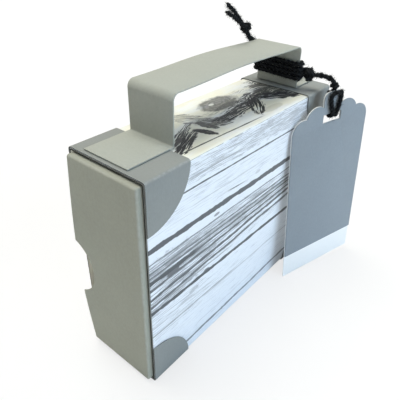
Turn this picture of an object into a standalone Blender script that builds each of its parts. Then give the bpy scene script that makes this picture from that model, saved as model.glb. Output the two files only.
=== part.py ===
"""A suitcase-shaped gift box of grey card with a wood-print wrap, a sliding tray, a strap handle
and a gift tag tied to the handle with black twine.

The box stands on its bottom corner pieces at z = 0. X runs along the length, from the tray's
thumb notch on the left to the tag on the right, Y runs from the front face to the back, and the
origin is under the middle of the box with its handle and tray. All sizes are in metres.
"""
import math

import bmesh
import bpy
from mathutils import Matrix, Vector

# Fits that pieces share
SEAT_GAP = 0.0002
RUNNING_GAP = 0.0003
TWINE_GAP = 0.0003
HINGE_GAP = 0.0003
CUT_OVERRUN = 0.002
FLOOR_GAP = 0.0001

# The box, over its corner pieces
BOX_LENGTH = 0.126
BOX_DEPTH = 0.0386
BOX_HEIGHT = 0.100
CORNER_CARD = 0.0003
WRAP_PAPER = 0.00015
SLEEVE_CARD = 0.0004
FOLD_RADIUS = 0.0009
FOLD_STEPS = 3
WRAP_INSET = 0.0003

# The corner pieces, whose front and back ends are quarter rounds
CORNER_REACH = 0.0215
CORNER_STEPS = 14

# The tray, open at the back, with a bowed end and a thumb notch
TRAY_CARD = 0.0004
TRAY_FOLD = 0.0006
TRAY_PROTRUSION = 0.0024
TRAY_FREE_EDGE = 0.0006
END_BOW = 0.0024
END_BOW_POWER = 1.5
END_STEPS = 10
NOTCH_RADIUS = 0.0154
NOTCH_DEPTH = 0.0082
NOTCH_DROP = 0.0020
NOTCH_STEPS = 48

# The strap handle, one folded strip whose folds are its hinges
STRAP_CARD = 0.0005
STRAP_WIDTH = 0.0221
STRAP_BACKSET = 0.0012
LEFT_LEG_INSET = 0.0233
RIGHT_LEG_INSET = 0.0170
LEFT_FOOT_INSET = 0.0015
RIGHT_FOOT_INSET = 0.0012
HANDLE_HEIGHT = 0.0198
GRIP_CORNER = 0.0024
GRIP_CROWN = 0.0010
GRIP_STEPS = 12
GRIP_CORNER_STEPS = 5

# The twine and its windings on the right leg
TWINE = 0.0017
PAIR = 0.0028
WINDING_TURNS = 4
WINDING_PITCH = 0.00215
WINDING_START = 0.0036
WINDING_TILT = 0.0012
KNOT_RADIUS = 0.0026
KNOT_RIDGE = 0.0003
KNOT_RISE = 0.0073
KNOT_BEARING = math.radians(-56)
HITCH_RADIUS = 0.0019
KNOT_RINGS = 12
KNOT_SEGMENTS = 20
KNOT_WRAPS = 3

# The twine's stub behind the grip, its knot and the two loose tails
TAIL_KNOT_SET = 0.0094
TAIL_KNOT_RISE = 0.0054
TAIL_START_RISE = 0.0132
TAIL_STUB_LEAN = 0.0020
TAIL_STUB_BULGE = 0.0012
TAIL_SPREAD = 0.0008
LONG_TAIL_REACH = 0.0140
LONG_TAIL_HEIGHT = 0.0115
LONG_TAIL_START = 0.0150
LONG_TAIL_BOW = 0.0006
SHORT_TAIL_REACH = 0.0162
SHORT_TAIL_HEIGHT = 0.0089
SHORT_TAIL_START = 0.0062
SHORT_TAIL_BOW = 0.0003

# The tag, two layers of card with a scalloped top, a neck and a slot
TAG_CARD = 0.0004
TAG_WIDTH = 0.0508
TAG_SIDE = 0.0835
OUTER_LOBE = 0.0069
INNER_LOBE = 0.0073
INNER_LOBE_RISE = 0.0041
INNER_LOBE_OFFSET = 0.0099
NECK_WIDTH = 0.012
NECK_TOP = 0.1005
NECK_CORNER = 0.003
SLOT_WIDTH = 0.012
SLOT_LOW = 0.0857
SLOT_HIGH = 0.0900
FOOT_STRIP = 0.014
LOBE_STEPS = 9
TAG_CORNER_INSET = 0.0330
TAG_STAND_OFF = 0.0078
TAG_YAW = math.radians(16.9)
TAG_LEAN = math.radians(4.1)
TAG_ROLL = math.radians(2.4)
PIVOT_ABOVE_NECK = 0.0024
LOOP_CROSSING_DROP = 0.00225

# Half of the tag's loop: shares of the neck's half width, of its height over the slot and of the reach
LOOP_BACK_SHARES = ((0.24, 0.99, -1.20), (0.25, 0.75, -1.06), (0.24, 0.40, -1.05), (0.22, 0.10, -1.03))
LOOP_FRONT_SHARES = ((0.26, 0.10, 1.03), (0.44, 0.42, 1.05), (0.55, 0.78, 1.08), (0.36, 0.98, 1.45))

# Where it passes through the slot: shares of the half width, of the twine's gap and of the reach
LOOP_PASS_SHARES = ((0.21, 1, -0.74), (0.21, 0, 0), (0.22, 1, 0.74))

# The lead: shares of its run and of its fall, and how steeply it arrives
LEAD_SHARES = ((0.30, -0.10), (0.62, 0.08), (0.86, 0.42))
LEAD_DIVE_SHARE = 1.7

# Where the layers of the box lie
WRAP_INSET_DEPTH = CORNER_CARD + SEAT_GAP
SLEEVE_INSET_DEPTH = WRAP_INSET_DEPTH + WRAP_PAPER + SEAT_GAP
TRAY_INSET_DEPTH = SLEEVE_INSET_DEPTH + SLEEVE_CARD + RUNNING_GAP
LEFT_END = (TRAY_PROTRUSION + END_BOW - BOX_LENGTH) / 2
RIGHT_END = LEFT_END + BOX_LENGTH
FRONT = -BOX_DEPTH / 2
BACK = BOX_DEPTH / 2

# Where the strap's pieces lie
STRAP_MIDDLE = STRAP_BACKSET
STRAP_FRONT = STRAP_MIDDLE - STRAP_WIDTH / 2
STRAP_BACK = STRAP_MIDDLE + STRAP_WIDTH / 2
FOOT_BOTTOM = BOX_HEIGHT + SEAT_GAP
FOOT_TOP = FOOT_BOTTOM + STRAP_CARD
LEFT_LEG = LEFT_END + LEFT_LEG_INSET
RIGHT_LEG = RIGHT_END - RIGHT_LEG_INSET
LEG_BOTTOM = FOOT_BOTTOM
BASE_HINGE = LEG_BOTTOM + STRAP_CARD / 2
GRIP_HEIGHT = BOX_HEIGHT + HANDLE_HEIGHT
LEG_TOP = GRIP_HEIGHT - STRAP_CARD - GRIP_CORNER
TOP_HINGE = LEG_TOP + HINGE_GAP / 2

COLOURS = {
    "grey_card": (0.36, 0.375, 0.35),
    "grip_card": (0.42, 0.44, 0.41),
    "wood_print_paper": (0.78, 0.82, 0.86),
    "tray_card": (0.31, 0.315, 0.29),
    "tag_card": (0.27, 0.33, 0.38),
    "white_card": (0.88, 0.91, 0.92),
    "black_twine": (0.006, 0.007, 0.009),
}
ROUGHNESS = {"wood_print_paper": 0.55, "white_card": 0.6, "black_twine": 0.95}


def material(name):
    """The Principled material of that name, made on its first use."""
    found = bpy.data.materials.get(name)
    if found:
        return found
    made = bpy.data.materials.new(name)
    made.use_nodes = True
    shader = made.node_tree.nodes["Principled BSDF"]
    shader.inputs["Base Color"].default_value = (*COLOURS[name], 1)
    shader.inputs["Roughness"].default_value = ROUGHNESS.get(name, 0.8)
    shader.inputs["Metallic"].default_value = 0
    return made


def place(name, data, finish, pivot=None):
    """Adds an object whose data is in world places, with its origin moved to the pivot."""
    made = bpy.data.objects.new(name, data)
    bpy.context.scene.collection.objects.link(made)
    data.materials.append(material(finish))
    if pivot is not None:
        data.transform(Matrix.Translation(-Vector(pivot)))
        made.location = pivot
    return made


def mesh_object(name, bm, finish, pivot=None):
    """Turns the working mesh into a named object."""
    data = bpy.data.meshes.new(name)
    bmesh.ops.recalc_face_normals(bm, faces=bm.faces)
    bm.to_mesh(data)
    bm.free()
    return place(name, data, finish, pivot)


def plate(name, low, high, finish, pivot=None):
    """A flat rectangular piece of card between two corners."""
    bm = bmesh.new()
    bmesh.ops.create_cube(bm, size=1)
    size = Vector(high) - Vector(low)
    middle = (Vector(high) + Vector(low)) / 2
    bmesh.ops.scale(bm, vec=size, verts=bm.verts)
    bmesh.ops.translate(bm, vec=middle, verts=bm.verts)
    return mesh_object(name, bm, finish, pivot)


def arc(centre, radius, start, end, steps):
    """Points on a circle from one angle to another, both included."""
    turn = (end - start) / steps
    return [
        (centre[0] + radius * math.cos(start + turn * k), centre[1] + radius * math.sin(start + turn * k))
        for k in range(steps + 1)
    ]


def thicken(made, thickness, offset=-1):
    """Gives a sheet of faces the thickness of its card."""
    solid = made.modifiers.new("card", "SOLIDIFY")
    solid.thickness = thickness
    solid.offset = offset
    solid.use_even_offset = True
    solid.use_rim = True
    return made


def round_folds(made, width, steps):
    """Rounds the folds between a sheet's panels before it gets its thickness."""
    bevel = made.modifiers.new("folds", "BEVEL")
    bevel.width = width
    bevel.segments = steps
    bevel.limit_method = "ANGLE"
    bevel.angle_limit = math.radians(40)
    return made


def ring_outline(inset, radius, steps):
    """The box's cross-section in Y and Z, with rounded folds, as a closed loop of points."""
    low_y, high_y = FRONT + inset, BACK - inset
    low_z, high_z = inset, BOX_HEIGHT - inset
    corners = [
        (low_y + radius, low_z + radius, math.pi),
        (high_y - radius, low_z + radius, 3 * math.pi / 2),
        (high_y - radius, high_z - radius, 0),
        (low_y + radius, high_z - radius, math.pi / 2),
    ]
    points = []
    for y, z, start in corners:
        points += arc((y, z), radius, start, start + math.pi / 2, steps)
    return points


def wrapped_tube(name, inset, thickness, low_x, high_x, finish):
    """A sheet folded once round the box, open at both ends."""
    radius = FOLD_RADIUS + CORNER_CARD + WRAP_PAPER - min(inset, CORNER_CARD + WRAP_PAPER)
    outline = ring_outline(inset, radius, FOLD_STEPS)
    bm = bmesh.new()
    left = [bm.verts.new((low_x, y, z)) for y, z in outline]
    right = [bm.verts.new((high_x, y, z)) for y, z in outline]
    for k in range(len(outline)):
        n = (k + 1) % len(outline)
        bm.faces.new((left[k], right[k], right[n], left[n]))
    face_outwards(bm)
    data = bpy.data.meshes.new(name)
    bm.to_mesh(data)
    bm.free()
    made = place(name, data, finish)
    return thicken(made, thickness)


def face_outwards(bm):
    """Turns a sheet's faces so that they point away from the middle of the box."""
    middle = Vector((0, 0, BOX_HEIGHT / 2))
    for face in bm.faces:
        face.normal_update()
        if face.normal.dot(face.calc_center_median() - middle) < 0:
            face.normal_flip()


def corner_piece(name, side, level):
    """A strip folded over the top or bottom edge folds, with a quarter round at each end.

    side is -1 for the left end and 1 for the right, and level is -1 for the bottom, 1 for the top.
    """
    radius = FOLD_RADIUS + CORNER_CARD + WRAP_PAPER
    edge_z = BOX_HEIGHT if level > 0 else 0
    end_x = LEFT_END if side < 0 else RIGHT_END
    half = math.pi / 2
    rows = []
    # The quarter round, from its tip to where its sheet meets the fold
    last = math.asin(min(1, radius / CORNER_REACH))
    for k in range(CORNER_STEPS + 1):
        angle = half + (last - half) * k / CORNER_STEPS
        drop = CORNER_REACH * math.sin(angle)
        rows.append((FRONT, edge_z - level * drop, CORNER_REACH * math.cos(angle)))
    for y, z in arc((FRONT + radius, edge_z - level * radius), radius, math.pi, half, FOLD_STEPS)[1:]:
        height = edge_z - level * radius + level * (z - (edge_z - level * radius))
        rows.append((y, height, CORNER_REACH))
    mirrored = [(-y, z, reach) for y, z, reach in reversed(rows)]
    bm = bmesh.new()
    ends, inner = [], []
    for y, z, reach in rows + mirrored:
        ends.append(bm.verts.new((end_x, y, z)))
        at_tip = reach < CORNER_CARD
        inner.append(None if at_tip else bm.verts.new((end_x - side * reach, y, z)))
    for k in range(len(ends) - 1):
        around = [ends[k], ends[k + 1], inner[k + 1], inner[k]]
        bm.faces.new([v for v in around if v is not None])
    face_outwards(bm)
    data = bpy.data.meshes.new(name)
    bm.to_mesh(data)
    bm.free()
    return thicken(place(name, data, "grey_card"), CORNER_CARD)


def tray():
    """The tray: a folded card box, open at the back, with a bowed and notched left end."""
    low = Vector((LEFT_END - TRAY_PROTRUSION, FRONT + TRAY_INSET_DEPTH, TRAY_INSET_DEPTH))
    high = Vector((RIGHT_END - TRAY_PROTRUSION, BACK - TRAY_INSET_DEPTH - TRAY_FREE_EDGE, 0))
    high.z = BOX_HEIGHT - TRAY_INSET_DEPTH
    size = high - low
    bm = bmesh.new()
    bmesh.ops.create_cube(bm, size=1)
    bmesh.ops.scale(bm, vec=size, verts=bm.verts)
    bmesh.ops.translate(bm, vec=(high + low) / 2, verts=bm.verts)
    back = [f for f in bm.faces if f.normal.y > 0.5]
    bmesh.ops.delete(bm, geom=back, context="FACES_ONLY")
    end = [f for f in bm.faces if f.normal.x < -0.5][0]
    bmesh.ops.subdivide_edges(bm, edges=list(end.edges), cuts=END_STEPS, use_grid_fill=True)
    for v in bm.verts:
        if abs(v.co.x - low.x) > CUT_OVERRUN:
            continue
        depth_share = max(0, (v.co.y - low.y) / size.y)
        height_share = (v.co.z - low.z) / size.z
        v.co.x -= END_BOW * depth_share**END_BOW_POWER * math.sin(math.pi * height_share)
    data = bpy.data.meshes.new("tray")
    bm.to_mesh(data)
    bm.free()
    made = place("tray", data, "tray_card", (LEFT_END, 0, BOX_HEIGHT / 2))
    round_folds(made, TRAY_FOLD, 2)
    thicken(made, TRAY_CARD)
    cut_notch(made, high.y)
    return made


def cut_notch(made, free_edge):
    """Cuts the thumb notch, an arc whose middle lies past the end wall's free edge."""
    length = TRAY_PROTRUSION + END_BOW + 2 * CUT_OVERRUN
    cutter = bmesh.new()
    bmesh.ops.create_cone(
        cutter,
        cap_ends=True,
        segments=NOTCH_STEPS,
        radius1=NOTCH_RADIUS,
        radius2=NOTCH_RADIUS,
        depth=length,
    )
    bmesh.ops.rotate(cutter, cent=(0, 0, 0), matrix=Matrix.Rotation(math.pi / 2, 3, "Y"), verts=cutter.verts)
    middle = Vector((LEFT_END - TRAY_PROTRUSION - END_BOW - CUT_OVERRUN + length / 2, 0, 0))
    middle.y = free_edge - NOTCH_DEPTH + NOTCH_RADIUS
    middle.z = BOX_HEIGHT / 2 - NOTCH_DROP
    bmesh.ops.translate(cutter, vec=middle, verts=cutter.verts)
    tool = mesh_object("notch_cutter", cutter, "tray_card")
    tool.hide_render = True
    tool.display_type = "WIRE"
    boolean(made, tool, "notch")


def boolean(made, tool, name):
    """Cuts one closed shape out of a piece."""
    cut = made.modifiers.new(name, "BOOLEAN")
    cut.operation = "DIFFERENCE"
    cut.solver = "EXACT"
    cut.object = tool


def handle():
    """The strap handle: two glued feet, two legs and the crowned grip."""
    half = STRAP_CARD / 2
    left_end = LEFT_END + LEFT_FOOT_INSET
    right_end = RIGHT_END - RIGHT_FOOT_INSET
    plate(
        "handle_foot_left",
        (left_end, STRAP_FRONT, FOOT_BOTTOM),
        (LEFT_LEG - half - HINGE_GAP, STRAP_BACK, FOOT_TOP),
        "grey_card",
    )
    plate(
        "handle_foot_right",
        (RIGHT_LEG + half + HINGE_GAP, STRAP_FRONT, FOOT_BOTTOM),
        (right_end, STRAP_BACK, FOOT_TOP),
        "grey_card",
    )
    for name, x in (("handle_leg_left", LEFT_LEG), ("handle_leg_right", RIGHT_LEG)):
        plate(
            name,
            (x - half, STRAP_FRONT, LEG_BOTTOM),
            (x + half, STRAP_BACK, LEG_TOP),
            "grip_card",
            (x, STRAP_MIDDLE, BASE_HINGE),
        )
    grip()


def grip():
    """The handle's grip, with its two rounded corners and a slight crown along its length."""
    half = STRAP_CARD / 2
    outer = GRIP_CORNER + STRAP_CARD
    low_z = LEG_TOP + HINGE_GAP
    bend_z = GRIP_HEIGHT - outer
    left = arc((LEFT_LEG - half + outer, bend_z), outer, math.pi, math.pi / 2, GRIP_CORNER_STEPS)
    right = [(LEFT_LEG + RIGHT_LEG - x, z) for x, z in reversed(left)]
    start, finish = left[-1], right[0]
    crown = []
    for k in range(1, GRIP_STEPS):
        share = k / GRIP_STEPS
        x = start[0] + (finish[0] - start[0]) * share
        crown.append((x, GRIP_HEIGHT + GRIP_CROWN * math.sin(math.pi * share) ** 2))
    path = [(LEFT_LEG - half, low_z)] + left[1:] + crown + right[:-1] + [(RIGHT_LEG + half, low_z)]
    bm = bmesh.new()
    front = [bm.verts.new((x, STRAP_FRONT, z)) for x, z in path]
    back = [bm.verts.new((x, STRAP_BACK, z)) for x, z in path]
    for k in range(len(path) - 1):
        bm.faces.new((front[k], front[k + 1], back[k + 1], back[k]))
    data = bpy.data.meshes.new("handle_grip")
    bm.to_mesh(data)
    bm.free()
    made = place("handle_grip", data, "grip_card", (LEFT_LEG, STRAP_MIDDLE, TOP_HINGE))
    thicken(made, STRAP_CARD)


def tube(name, points, diameter, finish, resolution, pivot=None):
    """A piece of twine along its points, with closed ends."""
    data = bpy.data.curves.new(name, "CURVE")
    data.dimensions = "3D"
    data.bevel_depth = diameter / 2
    data.bevel_resolution = resolution
    data.use_fill_caps = True
    spline = data.splines.new("POLY")
    spline.points.add(len(points) - 1)
    for k, point in enumerate(points):
        spline.points[k].co = (*point, 1)
    return place(name, data, finish, pivot)


def smooth(points, step):
    """A smooth curve through the points of a route, read at about equal steps."""
    ends = [2 * points[0] - points[1]] + list(points) + [2 * points[-1] - points[-2]]
    dense = []
    fine = 24
    for k in range(1, len(ends) - 2):
        a, b, c, d = ends[k - 1 : k + 3]
        for m in range(fine):
            t = m / fine
            bend = 2 * b + (c - a) * t + (2 * a - 5 * b + 4 * c - d) * t**2
            dense.append((bend + (3 * b - a - 3 * c + d) * t**3) / 2)
    dense.append(points[-1].copy())
    along = [0]
    for p, q in zip(dense, dense[1:]):
        along.append(along[-1] + (q - p).length)
    count = max(2, math.ceil(along[-1] / step))
    read, k = [], 0
    for m in range(count + 1):
        goal = along[-1] * m / count
        while k < len(along) - 2 and along[k + 1] < goal:
            k += 1
        part = (goal - along[k]) / (along[k + 1] - along[k])
        read.append(dense[k].lerp(dense[k + 1], part))
    return read


def winding_route():
    """The turns of twine round the right leg, from its front outer side to its back outer side."""
    side = STRAP_CARD / 2 + TWINE_GAP + TWINE / 2
    arc_steps, run_steps = 7, 5
    half = math.pi / 2
    turn = []
    # One turn, seen from above: the outer run, the round of the back edge, the inner run, the front
    for k in range(run_steps):
        turn.append((side, STRAP_FRONT + STRAP_WIDTH * k / run_steps))
    turn += [(x, y) for x, y in arc((0, STRAP_BACK), side, 0, 2 * half, arc_steps)[:-1]]
    for k in range(run_steps):
        turn.append((-side, STRAP_BACK - STRAP_WIDTH * k / run_steps))
    turn += [(x, y) for x, y in arc((0, STRAP_FRONT), side, 2 * half, 4 * half, arc_steps)[:-1]]
    route = []
    per_turn = len(turn)
    for k in range(WINDING_TURNS * per_turn + run_steps + 1):
        x, y = turn[k % per_turn]
        back_share = (y - STRAP_FRONT) / STRAP_WIDTH
        rise = WINDING_START + WINDING_PITCH * k / per_turn + WINDING_TILT * back_share
        route.append(Vector((RIGHT_LEG + x, y, BOX_HEIGHT + rise)))
    return route


def least_gap(route, diameter):
    """The least gap between stretches of one tube that lie more than a turn's bend apart."""
    skip = 6
    least = math.inf
    for i in range(len(route) - skip):
        for j in range(i + skip, len(route)):
            least = min(least, (route[i] - route[j]).length)
    return least - diameter


def knot(name, centre, radius, pivot=None):
    """A tied knot: a ball with the spiral ridges of its wraps."""
    bm = bmesh.new()
    bmesh.ops.create_uvsphere(bm, u_segments=KNOT_SEGMENTS, v_segments=KNOT_RINGS, radius=radius)
    for v in bm.verts:
        flat = math.hypot(v.co.x, v.co.y) / radius
        around = math.atan2(v.co.y, v.co.x)
        climb = v.co.z / radius
        groove = (1 - math.cos(2 * around + KNOT_WRAPS * math.pi * climb)) / 2
        v.co *= 1 - KNOT_RIDGE / radius * groove * flat
    bmesh.ops.translate(bm, vec=centre, verts=bm.verts)
    made = mesh_object(name, bm, "black_twine", pivot)
    made.data.shade_smooth()
    return made


def tag_frame():
    """The tag's axes: along its bottom edge, up its height and out of its front, and its corner."""
    along = Vector((math.cos(TAG_YAW), -math.sin(TAG_YAW), 0))
    inward = Vector((math.sin(TAG_YAW), math.cos(TAG_YAW), 0))
    upward = inward * math.sin(TAG_LEAN) + Vector((0, 0, math.cos(TAG_LEAN)))
    edge = along * math.cos(TAG_ROLL) + upward * math.sin(TAG_ROLL)
    rise = upward * math.cos(TAG_ROLL) - along * math.sin(TAG_ROLL)
    corner = Vector((RIGHT_END - TAG_CORNER_INSET, FRONT - TAG_STAND_OFF, FLOOR_GAP))
    return edge, rise, edge.cross(rise), corner


def on_tag(across, height, out):
    """The world place of a point on the tag: from its middle line, its bottom and its mid-plane."""
    edge, rise, front, corner = tag_frame()
    return corner + edge * (TAG_WIDTH / 2 + across) + rise * height + front * out


def tag_outline():
    """Half of the tag's scalloped top, from the straight side's end to the middle of the neck."""
    outer = (TAG_WIDTH / 2 - OUTER_LOBE, TAG_SIDE)
    inner = (INNER_LOBE_OFFSET, TAG_SIDE + INNER_LOBE_RISE)
    across, up = inner[0] - outer[0], inner[1] - outer[1]
    apart = math.hypot(across, up)
    reach = (apart**2 + OUTER_LOBE**2 - INNER_LOBE**2) / (2 * apart)
    height = math.sqrt(OUTER_LOBE**2 - reach**2)
    meet = (
        outer[0] + (across * reach + up * height) / apart,
        outer[1] + (up * reach - across * height) / apart,
    )
    start = math.atan2(meet[1] - inner[1], meet[0] - inner[0])
    end = math.pi - math.acos((inner[0] - NECK_WIDTH / 2) / INNER_LOBE)
    points = arc(outer, OUTER_LOBE, 0, math.atan2(meet[1] - outer[1], meet[0] - outer[0]), LOBE_STEPS)
    points += arc(inner, INNER_LOBE, start, end, LOBE_STEPS)[1:]
    shoulder = (NECK_WIDTH / 2 - NECK_CORNER, NECK_TOP - NECK_CORNER)
    points += arc(shoulder, NECK_CORNER, 0, math.pi / 2, LOBE_STEPS)
    return points


def tag_layer(name, low, out, finish, pivot):
    """One card layer of the tag, from a height above its bottom edge up to the neck."""
    right = tag_outline()
    outline = [(TAG_WIDTH / 2, low)] + right + [(-x, z) for x, z in reversed(right)]
    outline.append((-TAG_WIDTH / 2, low))
    bm = bmesh.new()
    near = [bm.verts.new(on_tag(x, z, out)) for x, z in outline]
    face = bm.faces.new(near)
    grown = bmesh.ops.extrude_face_region(bm, geom=[face])
    depth = tag_frame()[2] * TAG_CARD
    moved = [v for v in grown["geom"] if isinstance(v, bmesh.types.BMVert)]
    bmesh.ops.translate(bm, vec=depth, verts=moved)
    made = mesh_object(name, bm, finish, pivot)
    cutter = bmesh.new()
    corners = []
    for reach in (out - CUT_OVERRUN, out + TAG_CARD + CUT_OVERRUN):
        for x, z in ((-1, SLOT_LOW), (1, SLOT_LOW), (1, SLOT_HIGH), (-1, SLOT_HIGH)):
            corners.append(cutter.verts.new(on_tag(x * SLOT_WIDTH / 2, z, reach)))
    for k in range(4):
        n = (k + 1) % 4
        cutter.faces.new((corners[k], corners[n], corners[4 + n], corners[4 + k]))
    cutter.faces.new(corners[:4])
    cutter.faces.new(corners[4:])
    tool = mesh_object(name + "_slot_cutter", cutter, finish)
    tool.hide_render = True
    tool.display_type = "WIRE"
    boolean(made, tool, "slot")
    return made


def loop_route():
    """The tag's loop: down behind the neck, out through the slot, up over the front and back."""
    clear = TAG_CARD + SEAT_GAP / 2 + TWINE_GAP + TWINE / 2
    edge_clear = TWINE / 2 + TWINE_GAP
    pass_height = SLOT_HIGH - edge_clear - TWINE_GAP / 2
    neck = NECK_TOP - SLOT_HIGH
    leg = NECK_WIDTH / 2
    half = [(-leg * a, SLOT_HIGH + neck * b, clear * c) for a, b, c in LOOP_BACK_SHARES]
    half += [(-leg * a, pass_height + TWINE_GAP * b, clear * c) for a, b, c in LOOP_PASS_SHARES]
    half += [(-leg * a, SLOT_HIGH + neck * b, clear * c) for a, b, c in LOOP_FRONT_SHARES]
    crossing = NECK_TOP + PIVOT_ABOVE_NECK - LOOP_CROSSING_DROP
    middle = (0, crossing, HITCH_RADIUS + edge_clear + 2 * TWINE_GAP)
    route = half + [middle] + [(-x, z, out) for x, z, out in reversed(half)]
    return [on_tag(*point) for point in route]


def lead_route(knot_centre, pivot):
    """The lead from the leg's knot over the box's front edge to the tag's hitch."""
    start_gap = KNOT_RADIUS + TWINE_GAP
    end_gap = HITCH_RADIUS + TWINE_GAP
    flat = Vector((pivot.x - knot_centre.x, pivot.y - knot_centre.y, 0))
    way = flat.normalized()
    start = knot_centre + way * start_gap
    down = Vector((0, 0, -1))
    arrive = (way + down * LEAD_DIVE_SHARE).normalized()
    end = pivot - arrive * end_gap
    run = (end - start).dot(way)
    fall = start.z - end.z
    middle = [start + way * run * a + down * fall * b for a, b in LEAD_SHARES]
    return [start] + middle + [end]


def tail_places():
    """The second knot's middle and the routes of the stub below it and the two loose tails."""
    behind = STRAP_BACK + TWINE_GAP + PAIR / 2 + SEAT_GAP
    clear_of_grip = STRAP_BACK + TWINE_GAP + KNOT_RADIUS + SEAT_GAP
    wound = STRAP_CARD / 2 + TWINE_GAP + TWINE
    start = Vector((RIGHT_LEG + wound + PAIR / 2 + TWINE_GAP, behind, BOX_HEIGHT + TAIL_START_RISE))
    knot_at = Vector((RIGHT_LEG - TAIL_KNOT_SET, clear_of_grip, GRIP_HEIGHT + TAIL_KNOT_RISE))
    over = Vector((RIGHT_LEG - TAIL_KNOT_SET + TAIL_STUB_LEAN, behind, GRIP_HEIGHT + GRIP_CROWN))
    aim = (knot_at - over).normalized()
    stub = [start, (start + over) / 2 + Vector((TAIL_STUB_BULGE, 0, 0)), over]
    stub.append(knot_at - aim * (KNOT_RADIUS + TWINE_GAP))
    tails = []
    shapes = (
        (LONG_TAIL_START, LONG_TAIL_REACH, LONG_TAIL_HEIGHT, LONG_TAIL_BOW, TAIL_SPREAD),
        (SHORT_TAIL_START, SHORT_TAIL_REACH, SHORT_TAIL_HEIGHT, SHORT_TAIL_BOW, -TAIL_SPREAD),
    )
    for rise, reach, lift, bow, spread in shapes:
        tip = knot_at + Vector((-reach, spread, lift))
        way = Vector((-reach, 0, rise)).normalized()
        first = knot_at + way * (KNOT_RADIUS + TWINE_GAP) + Vector((0, spread, 0))
        tails.append([first, (first + tip) / 2 + Vector((0, 0, bow)), tip])
    return knot_at, stub, tails


def twine_and_tag():
    """The windings, knots, lead and tails, and the tag on its loop."""
    leg_hinge = (RIGHT_LEG, STRAP_MIDDLE, BASE_HINGE)
    turns = winding_route()
    print(f"least gap between the winding's turns: {least_gap(turns, TWINE) * 1000:.2f} mm")
    tube("twine_winding", turns, TWINE, "black_twine", 1, leg_hinge)
    wound = STRAP_CARD / 2 + 2 * TWINE_GAP + TWINE + KNOT_RADIUS
    knot_at = Vector((RIGHT_LEG, STRAP_FRONT, BOX_HEIGHT + KNOT_RISE))
    knot_at += Vector((math.cos(KNOT_BEARING), math.sin(KNOT_BEARING), 0)) * wound
    knot("leg_knot", knot_at, KNOT_RADIUS, leg_hinge)
    pivot = on_tag(0, NECK_TOP + PIVOT_ABOVE_NECK, 0)
    knot("tag_hitch", pivot, HITCH_RADIUS, pivot)
    tube("twine_lead", smooth(lead_route(knot_at, pivot), PAIR), PAIR, "black_twine", 2)
    loop = smooth(loop_route(), TWINE)
    print(f"least gap of the tag's loop to itself: {least_gap(loop, TWINE) * 1000:.2f} mm")
    tube("tag_loop", loop, TWINE, "black_twine", 2, pivot)
    tag_layer("tag_front_card", FOOT_STRIP, SEAT_GAP / 2, "tag_card", pivot)
    tag_layer("tag_back_card", 0, -SEAT_GAP / 2 - TAG_CARD, "white_card", pivot)
    tail_knot_at, stub, tails = tail_places()
    tube("tail_stub", smooth(stub, PAIR), PAIR, "black_twine", 2, leg_hinge)
    knot("tail_knot", tail_knot_at, KNOT_RADIUS, leg_hinge)
    for name, route in zip(("tail_long", "tail_short"), tails):
        tube(name, smooth(route, 2 * TWINE), TWINE, "black_twine", 2, leg_hinge)


def build():
    """Models the whole object."""
    for old in list(bpy.data.objects):
        bpy.data.objects.remove(old, do_unlink=True)
    wrapped_tube("sleeve", SLEEVE_INSET_DEPTH, SLEEVE_CARD, LEFT_END, RIGHT_END, "grey_card")
    wrapped_tube(
        "wood_print_wrap",
        WRAP_INSET_DEPTH,
        WRAP_PAPER,
        LEFT_END + WRAP_INSET,
        RIGHT_END - WRAP_INSET,
        "wood_print_paper",
    )
    for level_name, level in (("top", 1), ("bottom", -1)):
        for side_name, side in (("left", -1), ("right", 1)):
            corner_piece(f"corner_{level_name}_{side_name}", side, level)
    tray()
    handle()
    twine_and_tag()


build()
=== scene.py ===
"""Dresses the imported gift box: card, wood-print paper, twine and tag, on the CAD frame."""
import logging
import math
import random
from dataclasses import dataclass, field
from enum import Enum
from typing import Callable, Iterable, Mapping, Sequence

import bmesh
import bpy
from bpy.types import Material, MeshPolygon, Node, NodeSocket, NodeTree, Object
from mathutils import Matrix, Vector


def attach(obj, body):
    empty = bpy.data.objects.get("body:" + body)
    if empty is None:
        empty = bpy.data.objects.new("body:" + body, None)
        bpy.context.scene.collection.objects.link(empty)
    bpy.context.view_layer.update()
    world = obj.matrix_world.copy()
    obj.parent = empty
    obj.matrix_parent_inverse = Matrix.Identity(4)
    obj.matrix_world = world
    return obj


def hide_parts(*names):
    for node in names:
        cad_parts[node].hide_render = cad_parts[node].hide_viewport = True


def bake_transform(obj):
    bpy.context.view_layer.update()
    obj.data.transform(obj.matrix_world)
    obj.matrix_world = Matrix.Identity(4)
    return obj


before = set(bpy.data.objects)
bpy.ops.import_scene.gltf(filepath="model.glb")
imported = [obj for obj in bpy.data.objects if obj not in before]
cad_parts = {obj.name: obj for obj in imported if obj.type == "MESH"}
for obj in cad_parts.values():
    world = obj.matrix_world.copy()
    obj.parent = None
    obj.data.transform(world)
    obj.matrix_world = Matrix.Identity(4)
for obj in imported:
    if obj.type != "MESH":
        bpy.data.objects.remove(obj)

LOG = logging.getLogger("gift_box")
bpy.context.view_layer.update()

Point = tuple[float, float, float]
WHITE = (1, 1, 1, 1)

# A millimetre in metres, and how many of them a metre has
MM = 0.001
PER_METRE = 1000

# The steps at which routes are read, and how finely each part of one is divided before
STEP = 0.0006
FINE_STEP = 0.0005
CURVE_CUTS = 24

# How much of its normal a face has along the axis that it faces
FACING = 0.5

# The least length of an edge along the box, and the distances that count as none
LONG_EDGE = 0.01
TOUCH = 0.0001
MERGE = 0.00001

# The angles between faces that count as flat, as shaded sharp and as a cut edge
FLAT_ANGLE = math.radians(1)
SHARP_ANGLE = math.radians(35)
CUT_ANGLE = math.radians(60)

# Into how many steps a softened edge is cut
EDGE_STEPS = 2

# The print's units in a metre, each of them 100 mm
PRINT_SCALE = 10

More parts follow.
